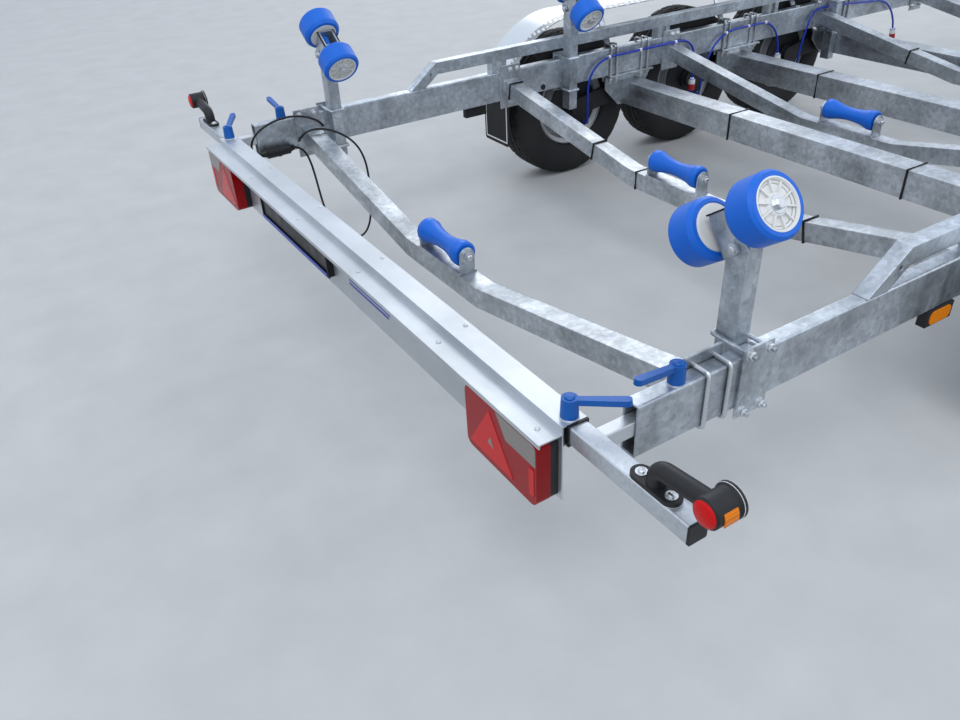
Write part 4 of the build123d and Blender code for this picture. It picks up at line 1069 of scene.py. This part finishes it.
# Flush hoses' couplings, each a white collar and a cap, and the clips along their straight stretches
hose_y = rail_inner - 0.0155
hose_ends = [
    # coupling's distance ahead, drop and lean, and its cap's material
    (2.165, 0.222, 0.0217, cap_red),
    (2.764, 0.206, 0.1738, tie_white),
    (3.716, 0.226, 0.2425, cap_red),
]
hose_clips = [
    (1.636, 0.031), (1.819, 0.0306), (2.034, 0.0302), (2.367, 0.0425), (2.517, 0.0325), (2.638, 0.033),
]
cap_profile = [
    (0.0151, 0.0245), (0.0160, 0.0255), (0.0160, 0.048), (0.0150, 0.0525), (0.0120, 0.056),
    (0.0120, 0.0575), (0, 0.0575),
]
clip_profile = [(0.0052, -0.0055), (0.0080, -0.0055), (0.0080, 0.0055), (0.0052, 0.0055)]


def collar_profile():
    profile = [(0.0060, -0.006), (0.0095, -0.005), (0.0100, 0.0), (0.0152, 0.0010)]
    for ring in range(4):
        low = 0.003 + 0.005 * ring
        profile += [(0.0158, low), (0.0158, low + 0.003), (0.0152, low + 0.0035), (0.0152, low + 0.0045)]
    return profile + [(0.0150, 0.024)]


def build_hose_trim():
    collars = Piece("hose_collars", "chassis", tie_white, "blue_hose")
    for number, (place, drop, lean, cap_material) in enumerate(hose_ends, start=1):
        cap = Piece(f"hose_caps_{number}", "chassis", cap_material, "blue_hose")
        down = Vector((lean, 0, -1)).normalized()
        for side in sides.values():
            start = (along(place), side * hose_y, rail_top - drop)
            collars.lathe(collar_profile(), start, down)
            cap.lathe(cap_profile, start, down)
        cap.finish()
    for (place, drop), side in product(hose_clips, sides.values()):
        x = along(place)
        z = rail_top - drop
        collars.lathe(clip_profile, (x, side * hose_y, z), forward, 16)
        collars.box((x - 0.0025, side * (hose_y + 0.006), z - 0.0020),
                    (x + 0.0025, side * rail_inner, z + 0.0020))
    collars.finish()


# Light cable: one lead from the cross-member to its connector, and one from there into the left rail
cable_diameter = 0.008
cable_y = rail_inner - 0.0225
front_lead = [
    # X from the rails' rear ends, Y, Z from their top faces
    (0.157, 1.002, -0.078), (0.154, 0.989, -0.079), (0.145, 0.976, -0.079), (0.139, 0.960, -0.074),
    (0.143, 0.945, -0.057), (0.165, 0.935, -0.037), (0.206, 0.929, -0.033), (0.251, 0.925, -0.046),
    (0.297, 0.923, -0.072), (0.335, 0.922, -0.106), (0.363, 0.922, -0.151), (0.378, 0.923, -0.206),
    (0.382, 0.924, -0.269), (0.380, 0.925, -0.336), (0.374, 0.926, -0.400), (0.361, 0.927, -0.456),
    (0.335, 0.928, -0.493), (0.292, 0.929, -0.501), (0.250, 0.931, -0.476), (0.217, 0.934, -0.433),
    (0.196, 0.938, -0.381), (0.186, 0.944, -0.323), (0.181, 0.950, -0.263), (0.177, 0.957, -0.206),
    (0.172, 0.965, -0.160), (0.163, 0.974, -0.126), (0.146, 0.982, -0.106), (0.125, cable_y, -0.100),
]
rear_lead = [
    (-0.005, cable_y, -0.100), (-0.024, 0.985, -0.093), (-0.035, 0.982, -0.069), (-0.026, 0.979, -0.038),
    (0.006, 0.976, -0.008), (0.058, 0.973, 0.012), (0.116, 0.971, 0.019), (0.172, 0.970, 0.010),
    (0.215, 0.970, -0.010), (0.237, 0.971, -0.028), (0.248, 0.978, -0.042), (0.254, 0.991, -0.050),
    (0.255, rail_inner, -0.052),
]


def build_light_cable():
    for name, lead, length, far_end, pieces in (
        ("cable_front_lead", front_lead, 1.203, "connector", [nodes["cable_connector"]]),
        ("cable_rear_lead", rear_lead, 0.418, "object", []),
    ):
        curve = bpy.data.curves.new(name, "CURVE")
        curve.dimensions = "3D"
        curve.bevel_depth = cable_diameter / 2
        curve.bevel_resolution = 3
        curve.resolution_u = 6
        curve.use_fill_caps = True
        curve.materials.append(cable_black)
        spline = curve.splines.new("NURBS")
        spline.points.add(len(lead) - 1)
        for point, (x, y, z) in zip(spline.points, lead):
            point.co = (along(x), y, rail_top + z, 1)
        spline.order_u = 3
        spline.use_endpoint_u = True
        cable = add_object(name, curve)
        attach(cable, "chassis")
        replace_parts(cable, "light_cable")
        x, y, z = lead[0]


# Grip ribs on the two ends of the cable's connector
def build_connector_trim():
    ribs = Piece("connector_ribs", "chassis", black_plastic, "black_plastic")
    rear_end = (along(-0.005), cable_y, rail_top - 0.100)
    for radius, rise, first, crest in ((0.0200, 0.0008, 0.028, 0.004), (0.0190, 0.0007, 0.080, 0.003)):
        for row in range(4):
            start = first + 0.008 * row
            ribs.lathe([(radius, start), (radius + rise, start + 0.001), (radius + rise, start + crest),
                        (radius, start + crest + 0.001)], rear_end, forward, 32)
    ribs.finish()


# Bolts of the drawbar, then of the winch post, bow roller and coupling
arm_front_place = 7.85
arm_front_y = 0.038
arm_length = 2.65
arm_slope = (rail_inner - arm_front_y) / arm_length
arm_half_width = 0.020
nose_plate = 0.008
nose_bolt_places = [7.46, 7.60, 7.80]
arm_member_places = [6.05, 6.72]
arm_member_height = 0.060
side_bolts = [
    # place, distance from the middle, height, across the nut's flats, washer's radius
    (6.03, 0.040, 0.955, 0.019, 0.014),
    (6.03, 0.040, 0.925, 0.019, 0.014),
    (5.75, 0.077, 0.985, 0.019, 0.016),
    (8.20, 0.034, 0.505, 0.017, 0.013),
    (8.24, 0.034, 0.505, 0.017, 0.013),
]


def arm_middle(place):
    """Distance of a drawbar arm's middle from the trailer's middle."""
    return arm_front_y + (arm_front_place - place) * arm_slope + arm_half_width


def build_front_trim():
    bolts = zinc_bolts("drawbar_bolts")
    for side in sides.values():
        for place in nose_bolt_places:
            y = side * arm_middle(place)
            bolts.bolt((along(place), y, rail_top + nose_plate), upward, 0.019, 0.014, stub=0.006)
            bolts.bolt((along(place), y, rail_bottom - nose_plate), -upward, 0.019, 0.014)
        for place in arm_member_places:
            y = side * arm_middle(place)
            for x in (along(place - 0.018), along(place + 0.018)):
                bolts.bolt((x, y, rail_top), upward, 0.017, 0.013, stub=0.006)
                bolts.bolt((x, y, rail_bottom - arm_member_height), -upward, 0.017, 0.013)
        for place, y, z, across, washer in side_bolts:
            bolts.bolt((along(place), side * y, z), (0, side, 0), across, washer)
    bolts.finish()


build_floor()
build_sky()
build_lamps()
build_camera()
build_member_bolts()
build_axle_bolts()
build_post_bolts()
build_keel_bolts()
build_roller_hubs()
build_bracket_trim()
build_tyres()
build_wheel_trim()
build_board_trim()
build_tail_lamps()
build_plate_trim()
build_position_lamps()
build_side_markers()
build_ties()
build_guard_trim()
build_lever_trim()
build_hose_trim()
build_light_cable()
build_connector_trim()
build_front_trim()

bpy.context.scene.view_settings.view_transform = "Standard"
